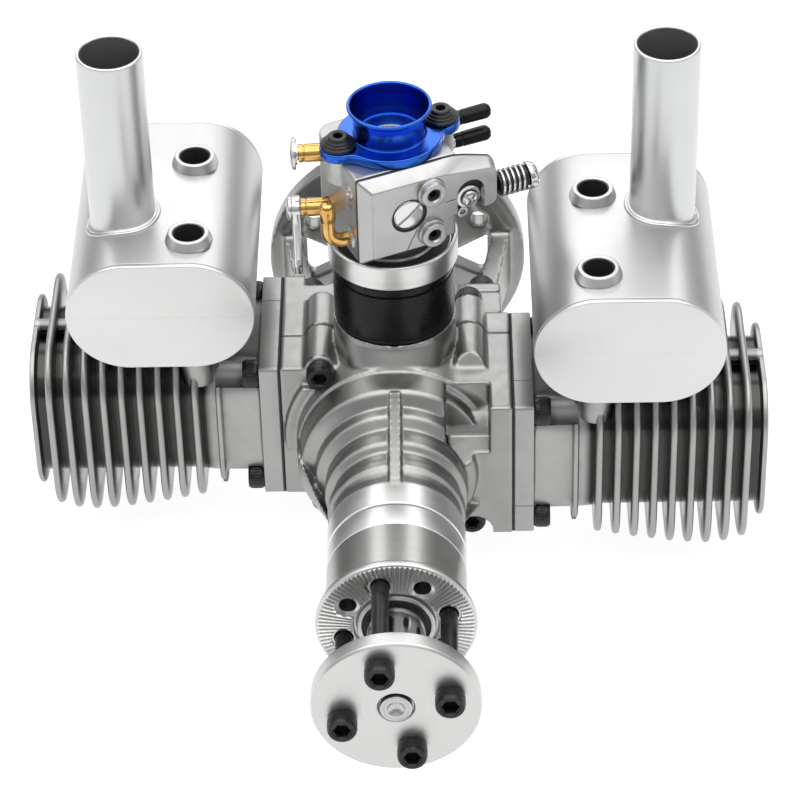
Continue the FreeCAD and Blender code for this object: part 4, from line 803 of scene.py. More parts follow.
def add_blocks(form):
    """The blocks that carry the cylinders; the right one is stepped at its front."""
    def pad(x0, x1, y):
        return form.box(x0, x1, y - 24, y + 24, -24.5, 24.5, 0.7)

    form.add(np.maximum(pad(-FACE_X, 0, LEFT_Y), -form.box(-STEP_X, 5, -53.0, -40.0, -30, 30, 0.8)), 2.2)
    right = pad(0, FACE_X, RIGHT_Y)
    for step in (form.box(-1, STEP_X, -120.0, -104.0, 11.5, 30.0, 0.6),
                 form.box(-1, 14.0, -120.0, -104.5, -30.0, 9.0, 0.6),
                 form.rod_y(CASE_X, -CASE_Z, 6.4, -120.0, -107.0, 0.4)):
        right = np.maximum(right, -step)
    form.add(right, 1.6)
    form.add(form.rod_x(RIGHT_Y, 0, BORE_WALL_R, 0.0, 35.0), 0.6)


def add_cone(form):
    """The terraced cone with its rib, the smooth skirt low down, and the notch over the right block."""
    cone = form.cone_y(TERRACES)
    form.add(np.maximum(cone, np.maximum(-153.4 - form.y, form.y + 100.0)), 0.5)
    skirt = form.cone_y([(-104.2, 30.5), (-112.5, 29.8), (-127.6, 22.7), (-137.6, 21.3), (-141.0, 19.8)])
    skirt = np.maximum(skirt, np.maximum(-141.0 - form.y, form.y + 104.2))
    web_edge = (form.z - 2.0 + 1.25 * (form.x + 28.5)) / 1.6
    form.add(np.maximum(skirt, np.where(form.x < 0, web_edge, form.z + 12.0)), 0.6)
    # the notch, whose floor rises to the rear; the walls of crank chamber and bore stand out in it
    floor = form.z - 9.0 - 0.25 * (form.y + 110.0)
    notch = np.maximum(form.box(14.8, STEP_X, -121.0, -105.2, 0.0, 40.0, 0.4), -floor / 1.03)
    notch = np.maximum(notch, -form.rod_y(0, 0, 27.0, -108.6, -100.0, 0.3))
    notch = np.maximum(notch, -form.rod_x(RIGHT_Y, 0, BORE_WALL_R, 0.0, 36.0))
    form.take(notch, 0.4)
    # the rib on top, rising to the rear
    rib_front, rib_rear, half_width = -145.5, -113.0, 2.05
    crest = 29.1 + (28.5 - 21.0) / (rib_rear - rib_front) * (form.y - rib_rear)
    ends = np.maximum(rib_front - form.y, form.y - rib_rear)
    rib = np.maximum(np.maximum(np.abs(form.x) - half_width, form.z - crest), np.maximum(ends, -form.z))
    form.add(rib + 0.35, 0.9)


def add_bosses(form):
    """Bosses of the long screws and the intake, the arc ledge, and the feet for the rear mount."""
    for x, z, front in ((-CASE_X, CASE_Z, -96.0), (-CASE_X, -CASE_Z, -96.0), (CASE_X, -CASE_Z, -107.0)):
        form.add(form.rod_y(x, z, 4.8, front, -62.0, 1.0), 1.2)
    ridge = form.rod_y(CASE_X, CASE_Z, 4.8, -98.0, -65.0, 0.4)
    form.add(np.maximum(ridge, (form.z - 28.5) * 0.60 - (form.y + 94.4) * 0.80), 1.0)
    # the intake boss runs out over the barrel at its front
    flare = 1.0 + 0.27 * np.clip((35.0 - form.z) / 7.0, 0.0, 1.0)
    stretch = np.where(form.y < INTAKE_Y, flare, 1.0)
    boss = np.hypot(form.x, (form.y - INTAKE_Y) / stretch) - 18.6
    form.add(np.maximum(boss, np.maximum(form.z - 36.0, -form.z)), 0.5)
    # arc ledge on the left of the barrel
    ledge = np.maximum(np.abs(np.hypot(form.x, form.z) - 31.8) - 2.3, np.abs(form.y + 97.4) - 1.6)
    ledge = np.maximum(ledge, np.maximum(np.maximum(form.x + 20.0, form.z - 18.8), -form.z - 5.0))
    form.add(ledge, 0.6)
    for x in (-MOUNT_X, MOUNT_X):
        form.add(form.box(x - 6, x + 6, -59.0, -48.0, -17, 17, 0.8), 1.0)


def hollow_out(form):
    """Seats of two screw heads, the intake, the crank chamber, the bores and the bearing seats."""
    form.take(form.rod_y(CASE_X, CASE_Z, 4.7, -65.0, -40.0, 0.2), 0.2)
    form.take(form.rod_y(CASE_X, -CASE_Z, 4.7, -125.0, -107.0, 0.2), 0.2)
    form.take(form.rod_z(0, INTAKE_Y, 13.0, 0.0, 40.0, 0.2), 0.3)
    form.take(form.rod_y(0, 0, 25.6, -107.2, -57.3))
    for side, _, y in SIDES:
        for radius, near, far in ((18.4, 0.0, 36.0), (20.6, 29.9, 37.0)):
            form.take(form.rod_x(y, 0, radius, *sorted((side * near, side * far))))
    for radius, y0, y1 in ((16.1, -57.6, -47.9), (17.6, -118.0, -107.0), (13.0, -142.0, -117.0),
                           (17.6, -156.0, -141.5)):
        form.take(form.rod_y(0, 0, radius, y0, y1))


def front_nose():
    """The turned end of the crankcase nose round the shaft seal."""
    return lathe(soften([(-144.3, 20.2), (-145.2, 20.5, 0.3), (-154.3, 20.5, 0.4), (-154.5, 20.1, 0.1),
                         (-154.5, 17.6, 0.3), (-145.0, 17.6)], 0.15), steps=144)


def build_crankcase():
    front, rear = crankcase()
    finished("turned_nose_end", front_nose(), "cast_aluminium", material=turned_ring, sharp=50.0)
    finished("cast_crankcase_front", front, "cast_aluminium", ["crankcase_front"], sharp=50.0)
    finished("cast_crankcase_rear", rear, "cast_aluminium", ["crankcase_rear"], sharp=50.0)


# Socket screws


def socket_screw_tree():
    """Knurled socket head screws on points, each pointing the way its point says."""
    tree, given = new_tree("socket_screws_on_points", {
        "Head radius": ("Float", 0.0043), "Head height": ("Float", 0.005), "Hexagon": ("Float", 0.004),
        "Shank radius": ("Float", 0.0025), "Shank length": ("Float", 0.01), "Knurls": ("Int", 32)})
    height = given["Head height"]

    def reckon(operation, first, second=None):
        return math_node(tree, operation, first, second)

    def times(value, factor):
        return reckon("MULTIPLY", value, factor)

    def cylinder(sides, radius, depth, lift):
        shape = add_node(tree, "GeometryNodeMeshCylinder", fill_type="NGON")
        shape.inputs["Vertices"].default_value = sides
        wire(tree, [(radius, shape.inputs["Radius"]), (depth, shape.inputs["Depth"])])
        return raised(tree, shape.outputs["Mesh"], lift)

    # head: a many-sided cylinder whose sides alternate in and out, drawn in at its rims
    head = add_node(tree, "GeometryNodeMeshCylinder", fill_type="NGON")
    head.inputs["Side Segments"].default_value = 8
    spot = tree.nodes.new("GeometryNodeInputPosition")
    parts = tree.nodes.new("ShaderNodeSeparateXYZ")
    index = tree.nodes.new("GeometryNodeInputIndex")
    wire(tree, [(times(given["Knurls"], 2), head.inputs["Vertices"]), (height, head.inputs["Depth"]),
                (given["Head radius"], head.inputs["Radius"]), (spot.outputs[0], parts.inputs[0])])
    share = reckon("DIVIDE", reckon("ABSOLUTE", parts.outputs["Z"]), height)
    knurled = reckon("MULTIPLY", reckon("MODULO", index.outputs[0], 2), reckon("LESS_THAN", share, 0.34))
    pull = reckon("ADD", times(reckon("GREATER_THAN", share, 0.45), -0.085),
                  times(reckon("GREATER_THAN", share, 0.32), -0.03))
    factor = reckon("ADD", 1.0, reckon("ADD", times(knurled, -0.028), pull))
    both = tree.nodes.new("ShaderNodeCombineXYZ")
    both.inputs["Z"].default_value = 1.0
    scaled = add_node(tree, "ShaderNodeVectorMath", operation="MULTIPLY")
    shaped = tree.nodes.new("GeometryNodeSetPosition")
    wire(tree, [(factor, both.inputs["X"]), (factor, both.inputs["Y"]), (spot.outputs[0], scaled.inputs[0]),
                (both.outputs[0], scaled.inputs[1]), (head.outputs["Mesh"], shaped.inputs["Geometry"]),
                (scaled.outputs[0], shaped.inputs["Position"])])
    # hexagon socket with a coned mouth
    mouth = add_node(tree, "GeometryNodeMeshCone", fill_type="NGON")
    mouth.inputs["Vertices"].default_value = 24
    hollow = add_node(tree, "GeometryNodeMeshBoolean", operation="DIFFERENCE", solver="EXACT")
    wire(tree, [(times(given["Hexagon"], 0.68), mouth.inputs["Radius Top"]),
                (times(given["Hexagon"], 0.59), mouth.inputs["Radius Bottom"]),
                (times(height, 0.12), mouth.inputs["Depth"]),
                (raised(tree, shaped.outputs[0], times(height, 0.5)), hollow.inputs["Mesh 1"]),
                (cylinder(6, times(given["Hexagon"], 0.5774), height, times(height, 0.85)),
                 hollow.inputs["Mesh 2"]),
                (raised(tree, mouth.outputs["Mesh"], times(height, 0.91)), hollow.inputs["Mesh 2"])])
    length = given["Shank length"]
    whole = tree.nodes.new("GeometryNodeJoinGeometry")
    way = add_node(tree, "GeometryNodeInputNamedAttribute", data_type="FLOAT_VECTOR")
    way.inputs["Name"].default_value = "way"
    align = add_node(tree, "FunctionNodeAlignRotationToVector", axis="Z")
    wire(tree, [(hollow.outputs["Mesh"], whole.inputs[0]),
                (cylinder(24, given["Shank radius"], length, times(length, -0.5)), whole.inputs[0]),
                (way.outputs[0], align.inputs["Vector"])])
    return finish_tree(tree, given, copies(tree, given["Geometry"], whole.outputs[0],
                                           Rotation=align.outputs[0]))


def run_tree(tree, obj, values):
    """Put a tree on an object, set its inputs, and give back the mesh it makes."""
    change = obj.modifiers.new("made", "NODES")
    change.node_group = tree
    for item in tree.interface.items_tree:
        if item.item_type == "SOCKET" and item.in_out == "INPUT" and item.name in values:
            change[item.identifier] = values[item.name]
    return settled(obj)


SCREW_TREE = socket_screw_tree()


def socket_screws(places, length, hexagon):
    """Screws at (point, direction) places, as one mesh."""
    mesh = mesh_from("screw_places", [p for p, _ in places], [])
    way = mesh.attributes.new("way", "FLOAT_VECTOR", "POINT")
    for i, (_, direction) in enumerate(places):
        way.data[i].vector = direction
    return run_tree(SCREW_TREE, as_object("screws", mesh),
                    {"Head radius": 4.3 * MM, "Head height": 5.0 * MM, "Hexagon": hexagon * MM,
                     "Shank radius": 2.5 * MM, "Shank length": length * MM, "Knurls": 36, "Finish": black})


def round_crank(count):
    """Places on the circle of the propeller screws."""
    angles = [math.radians(PROP_TURN + 360 / count * i) for i in range(count)]
    return [(PROP_R * math.cos(a), 0, PROP_R * math.sin(a)) for a in angles]


def build_screws():
    case = [((-CASE_X, -96.0, CASE_Z), (0, -1, 0)), ((-CASE_X, -96.0, -CASE_Z), (0, -1, 0)),
            ((CASE_X, -107.0, -CASE_Z), (0, -1, 0)), ((CASE_X, -65.0, CASE_Z), (0, 1, 0))]
    feet = [((side * FLANGE_X, y + dy, z), (side, 0, 0)) for side, _, y in SIDES
            for dy in (-SPREAD, SPREAD) for z in (-SPREAD, SPREAD)]
    propeller = [((x, -218.9, z), (0, -1, 0)) for x, _, z in round_crank(4)]
    mount = [((x, -43.0, z), (0, 1, 0)) for x in (-MOUNT_X, MOUNT_X) for z in (-MOUNT_Z, MOUNT_Z)]
    cans = [((side * SLEEVE_X, y + dy, SEAT_Z), (0, 0, 1)) for side, _, y in SIDES
            for dy in (-SPREAD, SPREAD)]
    for name, places, length, hexagon, body, node in (
            ("crankcase_socket_screws", case, 25.0, 4.0, "engine", "crankcase_screws"),
            ("cylinder_socket_screws", feet, 12.0, 4.0, "engine", "cylinder_base_screws"),
            ("propeller_socket_screws", propeller, 45.0, 4.4, "crank", "propeller_screws"),
            ("mount_socket_screws", mount, 11.0, 4.0, "engine", "rear_mount_screws"),
            ("muffler_socket_screws", cans, 19.0, 4.0, "engine", "muffler_screws")):
        finished(name, socket_screws(places, length, hexagon), "black_screws", [node], body)


# Cylinders


def cylinder_core():
    """Flange, neck and head of one cylinder as one skin along X, drawn for the right side."""
    # (x, half width, corner) and, for the flange, its half height
    stations = [(35.65, 23.85, 1.2, 24.35), (35.8, 24.0, 1.4, 24.5), (41.1, 24.0, 1.4, 24.5),
                (41.4, 23.85, 1.2, 24.35), (FLANGE_X, 23.5, 1.0, 24.0), (FLANGE_X, 23.3, 11.0),
                (41.7, 22.9, 11.5), (42.4, 22.5, 12.0), (53.0, 22.4, 12.0), (53.1, 25.2, 14.0),
                (53.4, 25.9, 14.6), (54.0, 26.1, 15.0), (54.6, 25.9, 14.6), (54.9, 25.2, 14.0),
                (55.0, 22.4, 13.0), (59.0, 22.2, 13.0), (61.0, 22.0, 13.5), (109.4, 22.0, 13.5),
                (109.7, 24.6, 14.4), (110.0, 25.1, 14.8), (110.6, 25.3, 15.0), (111.2, 25.1, 14.8),
                (111.5, 24.6, 14.4), (111.5, 9.6, 9.6), (111.3, 9.1, 9.1), (104.7, 9.0, 9.0),
                (104.5, 8.8, 8.8), (104.5, 5.4, 5.4), (104.2, 5.0, 5.0), (95.0, 5.0, 5.0)]
    mesh = skin([[(s[0], u, v) for u, v in rounded_square(s[1], s[3] if len(s) > 3 else s[1], s[2])]
                 for s in stations])
    tools = [peg(FLANGE_X, 55.0, 4.7, (0, y, z), "X", 40) for y in (-SPREAD, SPREAD)
             for z in (-SPREAD, SPREAD)]
    # two thin parting lines on the flange, and the bore with its domed head and plug hole
    tools += [block(35.0, 41.6, -10.85, -10.6, 24.2, 25.0), block(35.0, 41.6, -25.0, -23.7, -13.9, -13.65),
              lathe([(30.0, 0), (30.0, BORE_R), (88.0, BORE_R), (94.0, 12.0), (94.0, 4.8), (95.5, 4.8),
                     (95.5, 0)], (0, 0, 0), "X", 96)]
    return cut_out(mesh, tools)


def one_fin():
    """A fin of half width one, with a rounded rim; its thickness is drawn true."""
    half, arc, pull_in, hole = 1.08, 6, 0.03, 0.68
    outer = rounded_square(1, 1, 0.5)
    inner = [(u * hole, v * hole) for u, v in rounded_square(1, 1, 1)]
    loops = [[(-half, u, v) for u, v in inner]]
    for k in range(arc + 1):
        a = math.pi * k / arc
        pull = 1 - pull_in * (1 - math.sin(a))
        loops.append([(-half * math.cos(a), u * pull, v * pull) for u, v in outer])
    return skin(loops + [[(half, u, v) for u, v in inner]], False)


def fin_tree():
    """Fins on points along the barrel, each as wide as its point says."""
    tree, given = new_tree("fins_along_barrel", {"Fin": ("Object", None)})
    fin = tree.nodes.new("GeometryNodeObjectInfo")
    width = add_node(tree, "GeometryNodeInputNamedAttribute", data_type="FLOAT")
    width.inputs["Name"].default_value = "half width"
    size = tree.nodes.new("ShaderNodeCombineXYZ")
    size.inputs["X"].default_value = 1.0
    wire(tree, [(given["Fin"], fin.inputs["Object"]), (width.outputs[0], size.inputs["Y"]),
                (width.outputs[0], size.inputs["Z"])])
    return finish_tree(tree, given, copies(tree, given["Geometry"], fin.outputs["Geometry"],
                                           Scale=size.outputs[0]))


def barrel_fins():
    first, pitch = 61.0, 5.5
    widths = [28.2, 29.0, 29.7, 30.3, 30.9, 31.3, 31.5, 31.1, 29.9]
    fin = as_object("fin", one_fin())
    mesh = mesh_from("fin_places", [(first + pitch * i, 0, 0) for i in range(len(widths))], [])
    attribute = mesh.attributes.new("half width", "FLOAT", "POINT")
    for i, width in enumerate(widths):
        attribute.data[i].value = width
    fins = run_tree(fin_tree(), as_object("fins", mesh), {"Fin": fin, "Finish": cast})
    drop(fin)
    return fins


def port_outline():
    """The port's outline: wide in the middle, and drawn in to the screws at its ends."""
    return blended_outline([(0, 0, 9.5), (0, 11, 7.4), (0, -11, 7.4), (0, 20.5, 5.0), (0, -20.5, 5.0)], 3.0)


def build_cylinders():
    post = peg(61, 111, 2.5, (0, 0, 24.0), "X", 24)
    spigot = lathe([(30.0, BORE_R), (30.0, 20.2), (30.3, SPIGOT_R), (35.7, SPIGOT_R), (35.7, BORE_R)],
                   (0, 0, 0), "X", 96)
    port = shifted(plate(port_outline(), 19.0, 31.5, 0.4), move(SLEEVE_X, 0, 0))
    whole = joined([cylinder_core(), spigot, barrel_fins(), port, post])
    sheet_hole = peg(34.0, 37.0, 20.6, axis="X")
    sheets = []
    for side, word, y in SIDES:
        place = move(0, y, 0) @ turn(0 if side > 0 else 180, "Z")
        finished("finned_cylinder_" + word, shifted(whole, place), "cylinder_aluminium", ["cylinder_" + word],
                 material=fin_right if side > 0 else fin_left, sharp=40.0)
        sheet_flat = plate(rounded_square(23.9, 24.4, 1.3), 35.15, 35.7, 0.0, 1, "X")
        sheets.append(shifted(cut_out(sheet_flat, [sheet_hole]), place))
    finished("foot_gaskets", joined(sheets), "gasket", ["cylinder_base_gaskets"])


# Propeller drive


def tooth_tree():
    """Teeth round a circle, for the face that grips the propeller."""
    tree, given = new_tree("teeth_round_hub", {"Tooth": ("Object", None), "Teeth": ("Int", 72)})
    tooth = tree.nodes.new("GeometryNodeObjectInfo")
    spots = tree.nodes.new("GeometryNodePoints")
    index = tree.nodes.new("GeometryNodeInputIndex")
    about = tree.nodes.new("ShaderNodeCombineXYZ")
    share = math_node(tree, "DIVIDE", index.outputs[0], given["Teeth"])
    wire(tree, [(given["Tooth"], tooth.inputs["Object"]), (given["Teeth"], spots.inputs["Count"]),
                (math_node(tree, "MULTIPLY", share, 2 * math.pi), about.inputs["Y"])])
    return finish_tree(tree, given, copies(tree, spots.outputs[0], tooth.outputs["Geometry"],
                                           Rotation=about.outputs[0]))


def one_tooth(inner, outer, face, height, count):
    """A ridge that widens outwards, its crest towards -Y."""
    half = math.pi / count * 0.94
    points = []
    for radius in (inner, outer):
        w = radius * math.tan(half)
        points += [(-w, face + 0.6, radius), (-w, face, radius),
                   (0, face - height, radius), (w, face, radius),
                   (w, face + 0.6, radius)]
    faces = [(0, 1, 2, 3, 4), (9, 8, 7, 6, 5)] + [(k, k + 5, (k + 1) % 5 + 5, (k + 1) % 5) for k in range(5)]
    return weld(mesh_from("tooth", points, faces), 0.001)


def drive_hub():
    count = 96
    hub = lathe(soften([(-163.6, 8.6), (-163.6, 20.5, 0.4), (-182.1, 20.5, 1.0), (-182.3, 22.9, 0.3),
                        (-183.2, 23.3, 0.3), (-184.4, 23.3, 0.3), (-185.0, 22.9, 0.3), (-185.0, 12.4, 0.3),
                        (-183.5, 12.3, 0.3), (-183.5, 11.4, 0.2), (-185.2, 11.3, 0.3), (-185.2, 10.0, 0.2),
                        (-183.0, 9.9), (-183.0, 8.6)], 0.2), steps=144)
    tooth = as_object("tooth", one_tooth(12.7, 22.5, -184.9, 0.85, count))
    teeth = run_tree(tooth_tree(), as_object("teeth", mesh_from("none", [], [])),
                     {"Tooth": tooth, "Teeth": count, "Finish": turned})
    drop(tooth)
    holes = []
    for i, at in enumerate(round_crank(8)):
        mouth = 3.5 if i % 2 else 2.9
        holes.append(lathe([(-190, 0), (-190, mouth), (-185.0, mouth), (-184.4, 2.55), (-171.5, 2.55),
                            (-171.5, 0)], at, steps=32))
    clear = [peg(-190, -180, 3.7, at, steps=32) for at in round_crank(8)]
    return joined([cut_out(hub, holes), cut_out(teeth, clear)])


def propeller_washer():
    disc = lathe(soften([(-213.6, 5.1), (-213.6, 24.0, 0.5), (-218.2, 24.0, 0.15), (-218.9, 23.35, 0.15),
                         (-218.9, 5.5, 0.1), (-218.5, 5.1, 0.1)], 0.3), steps=160)
    hole = [(-230, 0), (-230, 3.1), (-218.9, 3.1), (-218.4, 2.6), (-200, 2.6), (-200, 0)]
    return cut_out(disc, [lathe(hole, at, steps=32) for at in round_crank(4)])


def build_propeller_drive():
    finished("serrated_drive_hub", drive_hub(), "machined_aluminium", ["drive_hub"], "crank", sharp=28.0)
    finished("propeller_clamp_washer", propeller_washer(), "machined_aluminium", ["propeller_washer"],
             "crank")
    tip = lathe(soften([(-216.4, 0.0, 0), (-219.5, 2.7, 0.1), (-219.5, 4.2, 0.2), (-219.2, 4.5, 0.1),
                        (-215.6, 4.5), (-215.6, 0.0, 0)], 0.1), steps=64)
    finished("drilled_crank_tip", tip, "bright_steel", body="crank", material=ground_steel)
    seal = lathe([(-184.5, 8.55), (-184.5, 9.85), (-183.1, 9.85), (-183.1, 8.55)])
    finished("hub_seal_ring", seal, "seal_rubber", body="crank")
    magnet = lathe(soften([(-155.0, 8.6), (-155.0, 20.5, 0.7), (-163.6, 20.5, 0.5), (-163.6, 8.6)], 0.2),
                   steps=144)
    finished("turned_magnet_carrier", magnet, "magnet_ring", ["magnet_ring"], "crank")


# Rear mount


def rear_mount():
    """The cast ring with its curved spokes and the cheeks that run forward to the crankcase."""
    form = Casting((-43.0, -49.5, -43.0), (43.0, 1.5, 43.0), 0.7)
    rim, half_thick, bolt_x, bolt_z = 0.8, 3.25, 26.7, 15.2
    flat = np.abs(form.y + half_thick) - half_thick + rim
    around = np.hypot(form.x, form.z)
    form.add(np.maximum(np.abs(around - 37.5) - 4.0 + rim, flat) - rim)
    form.add(np.maximum(around - 15.0 + rim, flat) - rim, 1.0)
    for sx in (-1, 1):
        for sz in (-1, 1):
            a = math.atan2(sz * bolt_z, sx * bolt_x)
            along = form.x * math.cos(a) + form.z * math.sin(a)
            across = -form.x * math.sin(a) + form.z * math.cos(a)
            spoke = np.maximum(np.abs(across) - 7.0 + rim, np.maximum(flat, np.abs(along - 18.0) - 18.0))
            form.add(spoke - rim, 3.0)
    for s in (-1, 1):
        web = form.box(*sorted((s * 13, s * 35)), -2.0, 0.0, -bolt_z, bolt_z, 0.4)
        window = form.box(*sorted((s * 17.0, s * 29.5)), -20.0, 10.0, -9.0, 10.0, 5.5)
        form.add(np.maximum(web, -window), 1.0)
        form.add(form.box(s * MOUNT_X - 6, s * MOUNT_X + 6, -48.0, -43.0, -17, 17, 1.2), 1.0)
        # a cheek spreads and deepens from the crankcase to the ring
        t = np.clip((form.y + 44.0) / 38.5, 0, 1)
        cheek = np.maximum(np.abs(form.x - s * (MOUNT_X + 7.0 * t)) - 2.4, np.abs(form.z) - 5.9 - 3.5 * t)
        form.add(np.maximum(cheek, np.maximum(form.y + 1.0, -45.0 - form.y)) - 0.6, 2.0)
        for z in (-MOUNT_Z, MOUNT_Z):
            form.take(form.rod_y(s * MOUNT_X, z, 4.65, -43.0, -30.0, 0.2), 0.2)
        for z in (-bolt_z, bolt_z):
            form.take(form.rod_y(s * bolt_x, z, 2.75, -20.0, 10.0), 0.3)
    form.take(form.rod_y(0, 0, 8.0, -20.0, 10.0), 0.4)
    form.keep(around - 41.5)
    form.keep(form.y)
    return form.skin()


def build_rear_mount():
    finished("cast_mount_ring", rear_mount(), "cast_aluminium", ["rear_mount_ring"], sharp=50.0)


# Intake column


def build_intake():
    """The black spacer, the bright clamp ring above it, and their thin seams."""
    centre = (0, INTAKE_Y, 0)
    spacer = lathe(soften([(36.05, 13.0), (36.05, 17.7, 0.1), (36.5, 17.7, 0.1), (36.5, 18.25, 0.2),
                           (37.3, 18.25, 0.15), (37.3, 17.95, 0.1), (37.7, 17.95, 0.1), (37.7, 18.25, 0.2),
                           (53.4, 18.25, 0.25), (53.4, 17.5, 0.1), (54.0, 17.5, 0.1), (54.0, 18.25, 0.25),
                           (56.5, 18.25, 0.35), (56.5, 17.3, 0.1), (57.15, 17.3, 0.1), (57.15, 13.0)], 0.1),
                   centre, "Z", 160)
    finished("black_intake_spacer", spacer, "black_plastic", ["intake_spacer"])
    ring = lathe(soften([(57.2, 13.2), (57.2, 19.0, 0.1), (57.7, 19.5, 0.3), (65.1, 19.5, 0.2),
                         (65.6, 19.2, 0.2), (65.6, 18.5, 0.25), (63.4, 17.6, 0.3), (62.9, 15.5, 0.3),
                         (61.75, 15.5), (61.75, 13.2)],
                        0.15), centre, "Z", 192)
    finished("turned_clamp_ring", ring, "machined_aluminium", ["intake_clamp_ring"], material=turned_upright)


# Carburettor, drawn square to its front cover and then turned about the throat

CARB = move(0, INTAKE_Y, 0) @ turn(CARB_TURN, "Z")
SHAFTS = move(0, INTAKE_Y, 0) @ turn(SHAFT_TURN, "Z")
THROTTLE_Z = 75.8
CHOKE_Z = 95.2
BOSSES = ((4.2, 90.6), (4.2, 76.4))
COVER_FACE = -19.3
NEEDLE_Z = (92.7, 84.8)     # high and low speed
IDLE_AT = (0, -16.6, 84.7)
RECESS = (17.0, 86.3)       # middle of the cover's arched recess


def carburettor_body():
    form = Casting((-24.5, -15.4, 61.4), (27.0, 18.2, 99.0), 0.4)
    form.add(form.prism(-17.5, 14.4, -14.3, 16.7, 69.0, 98.0, 6.0, 0.5))
    form.add(form.box(-17.5, 14.4, -14.3, 3.0, 69.0, 98.0, 0.45), 0.3)
    form.add(form.rod_z(0, 0, 12.4, 62.3, 71.0, 0.2), 1.4)
    form.add(form.rod_z(0, 0, 13.2, 62.2, 63.4, 0.2), 0.4)
    form.add(form.box(13.0, 25.4, -14.3, -12.9, 80.0, 93.0, 0.3), 0.4)
    form.add(form.box(13.5, 22.5, 4.5, 13.5, 80.3, 97.0, 1.4), 1.4)
    for s in (-1, 1):
        form.add(form.rod_z(s * EAR_X, 0, 3.7, 89.0, 98.0, 0.4), 1.6)
    # small plugs on the left face and the collar of the fuel elbow
    for y, z, radius, end, corner, blend in (
            (-9.8, 91.2, 2.3, -18.2, 0.4, 0.3), (-9.2, 87.1, 1.7, -18.0, 0.4, 0.3),
            (-9.2, 74.6, 3.3, -18.3, 0.5, 0.5)):
        form.add(form.rod_x(y, z, radius, end, -16.0, corner), blend)
    form.take(form.rod_x(-9.8, 91.2, 1.2, -20.0, -17.4, 0.2), 0.1)
    throat = np.interp(form.z, [62.0, 80.8, 85.5, 90.2, 99.0], [8.0, 8.0, 6.6, 8.0, 8.0])
    form.take(np.hypot(form.x, form.y) - throat, 0.2)
    for z in (THROTTLE_Z, CHOKE_Z):
        for radius, end in ((2.85, -13.0), (2.1, 12.0)):
            form.take(form.rod_level(SHAFT_TURN - CARB_TURN, z, radius, -40.0, end), 0.1)
    for z in NEEDLE_Z:
        form.take(form.rod_x(9.0, z, 1.3, 10.0, 40.0), 0.1)
    return form.skin()


def cover_outline(slant):
    """The cover's outline, drawn in by the wide slant of its front edge and a narrow one on the arm."""
    arm = slant / 3
    shoulder = 14.0 - 8.0 * arm
    return soften([(-17.5 + slant, 69.0 + slant, 1.0), (2.0 + slant, 69.0 + slant, 1.6),
                   (9.0 - arm, 73.5 + arm, 2.6), (10.8 - arm, 79.0 + arm, 1.6), (26.4 - arm, 79.0 + arm, 3.2),
                   (26.4 - arm, 94.0 - arm, 2.8), (shoulder, 98.0 - slant, 4.0),
                    (-17.5 + slant, 98.0 - slant, 1.0)],
                  0.5, 8)


def arch(radius, half_width, foot):
    """The outline of the recess: straight sides under a round top."""
    x, z = RECESS
    angles = [math.pi * k / 14 for k in range(15)]
    return [(x - half_width, foot), (x + half_width, foot)] + \
           [(x + radius * math.cos(a), z + radius * math.sin(a)) for a in angles]


def front_cover():
    stations = [(-15.2, 0.18), (-15.35, 0.0), (-15.7, 0.0), (-15.85, 0.12), (-19.05, 2.74), (-19.22, 2.92),
                (COVER_FACE, 3.2)]
    cover = skin([[(u, y, v) for u, v in cover_outline(slant)] for y, slant in stations])
    tools = [plate(arch(4.4, 4.4, 70.0), -30.0, -15.5, 0.0, 1, "Y"),
             lathe([(-30, 0), (-30, 5.7), (-17.5, 5.6), (-17.5, 0)], PLUG_AT, "Y", 64)]
    # two fine scribed lines
    tools += [shifted(block(-u, u, -30.0, COVER_FACE + 0.3, -v, v), move(x, 0, z) @ turn(angle, "Y"))
              for u, v, x, z, angle in ((0.13, 3.5, -2.0, 75.4, 27.0), (1.7, 0.13, 10.3, 85.3, -6.0))]
    tools += [lathe([(-30, 0), (-30, 4.7), (-18.9, 4.5), (-18.9, 0)], (x, 0, z), "Y", 48) for x, z in BOSSES]
    return cut_out(cover, tools)


def light_bosses():
    outline = soften([(-18.0, 1.7), (-18.0, 4.45), (-20.3, 4.45, 0.5), (-20.5, 3.95, 0.1), (-22.0, 3.95, 0.6),
                      (-22.0, 2.3, 0.2), (-21.4, 1.9, 0.1), (-20.0, 1.8), (-20.0, 1.7)], 0.15)
    return joined([lathe(outline, (x, 0, z), "Y", 64) for x, z in BOSSES])


def boss_screws():
    """Dark screws, deep in the two bosses, each with a hexagon socket."""
    reach = 2.3 / math.sqrt(3)
    parts = []
    for x, z in BOSSES:
        corners = [(x + reach * math.cos(a), z + reach * math.sin(a))
                   for a in (math.radians(60 * k + 14) for k in range(6))]
        head = lathe(soften([(-17.0, 0.0, 0), (-17.0, 1.85), (-20.6, 1.85, 0.3), (-20.6, 0.0, 0)], 0.1),
                     (x, 0, z), "Y", 40)
        parts.append(cut_out(head, [plate(corners, -30.0, -19.0, 0.0, 1, "Y")]))
    return joined(parts)


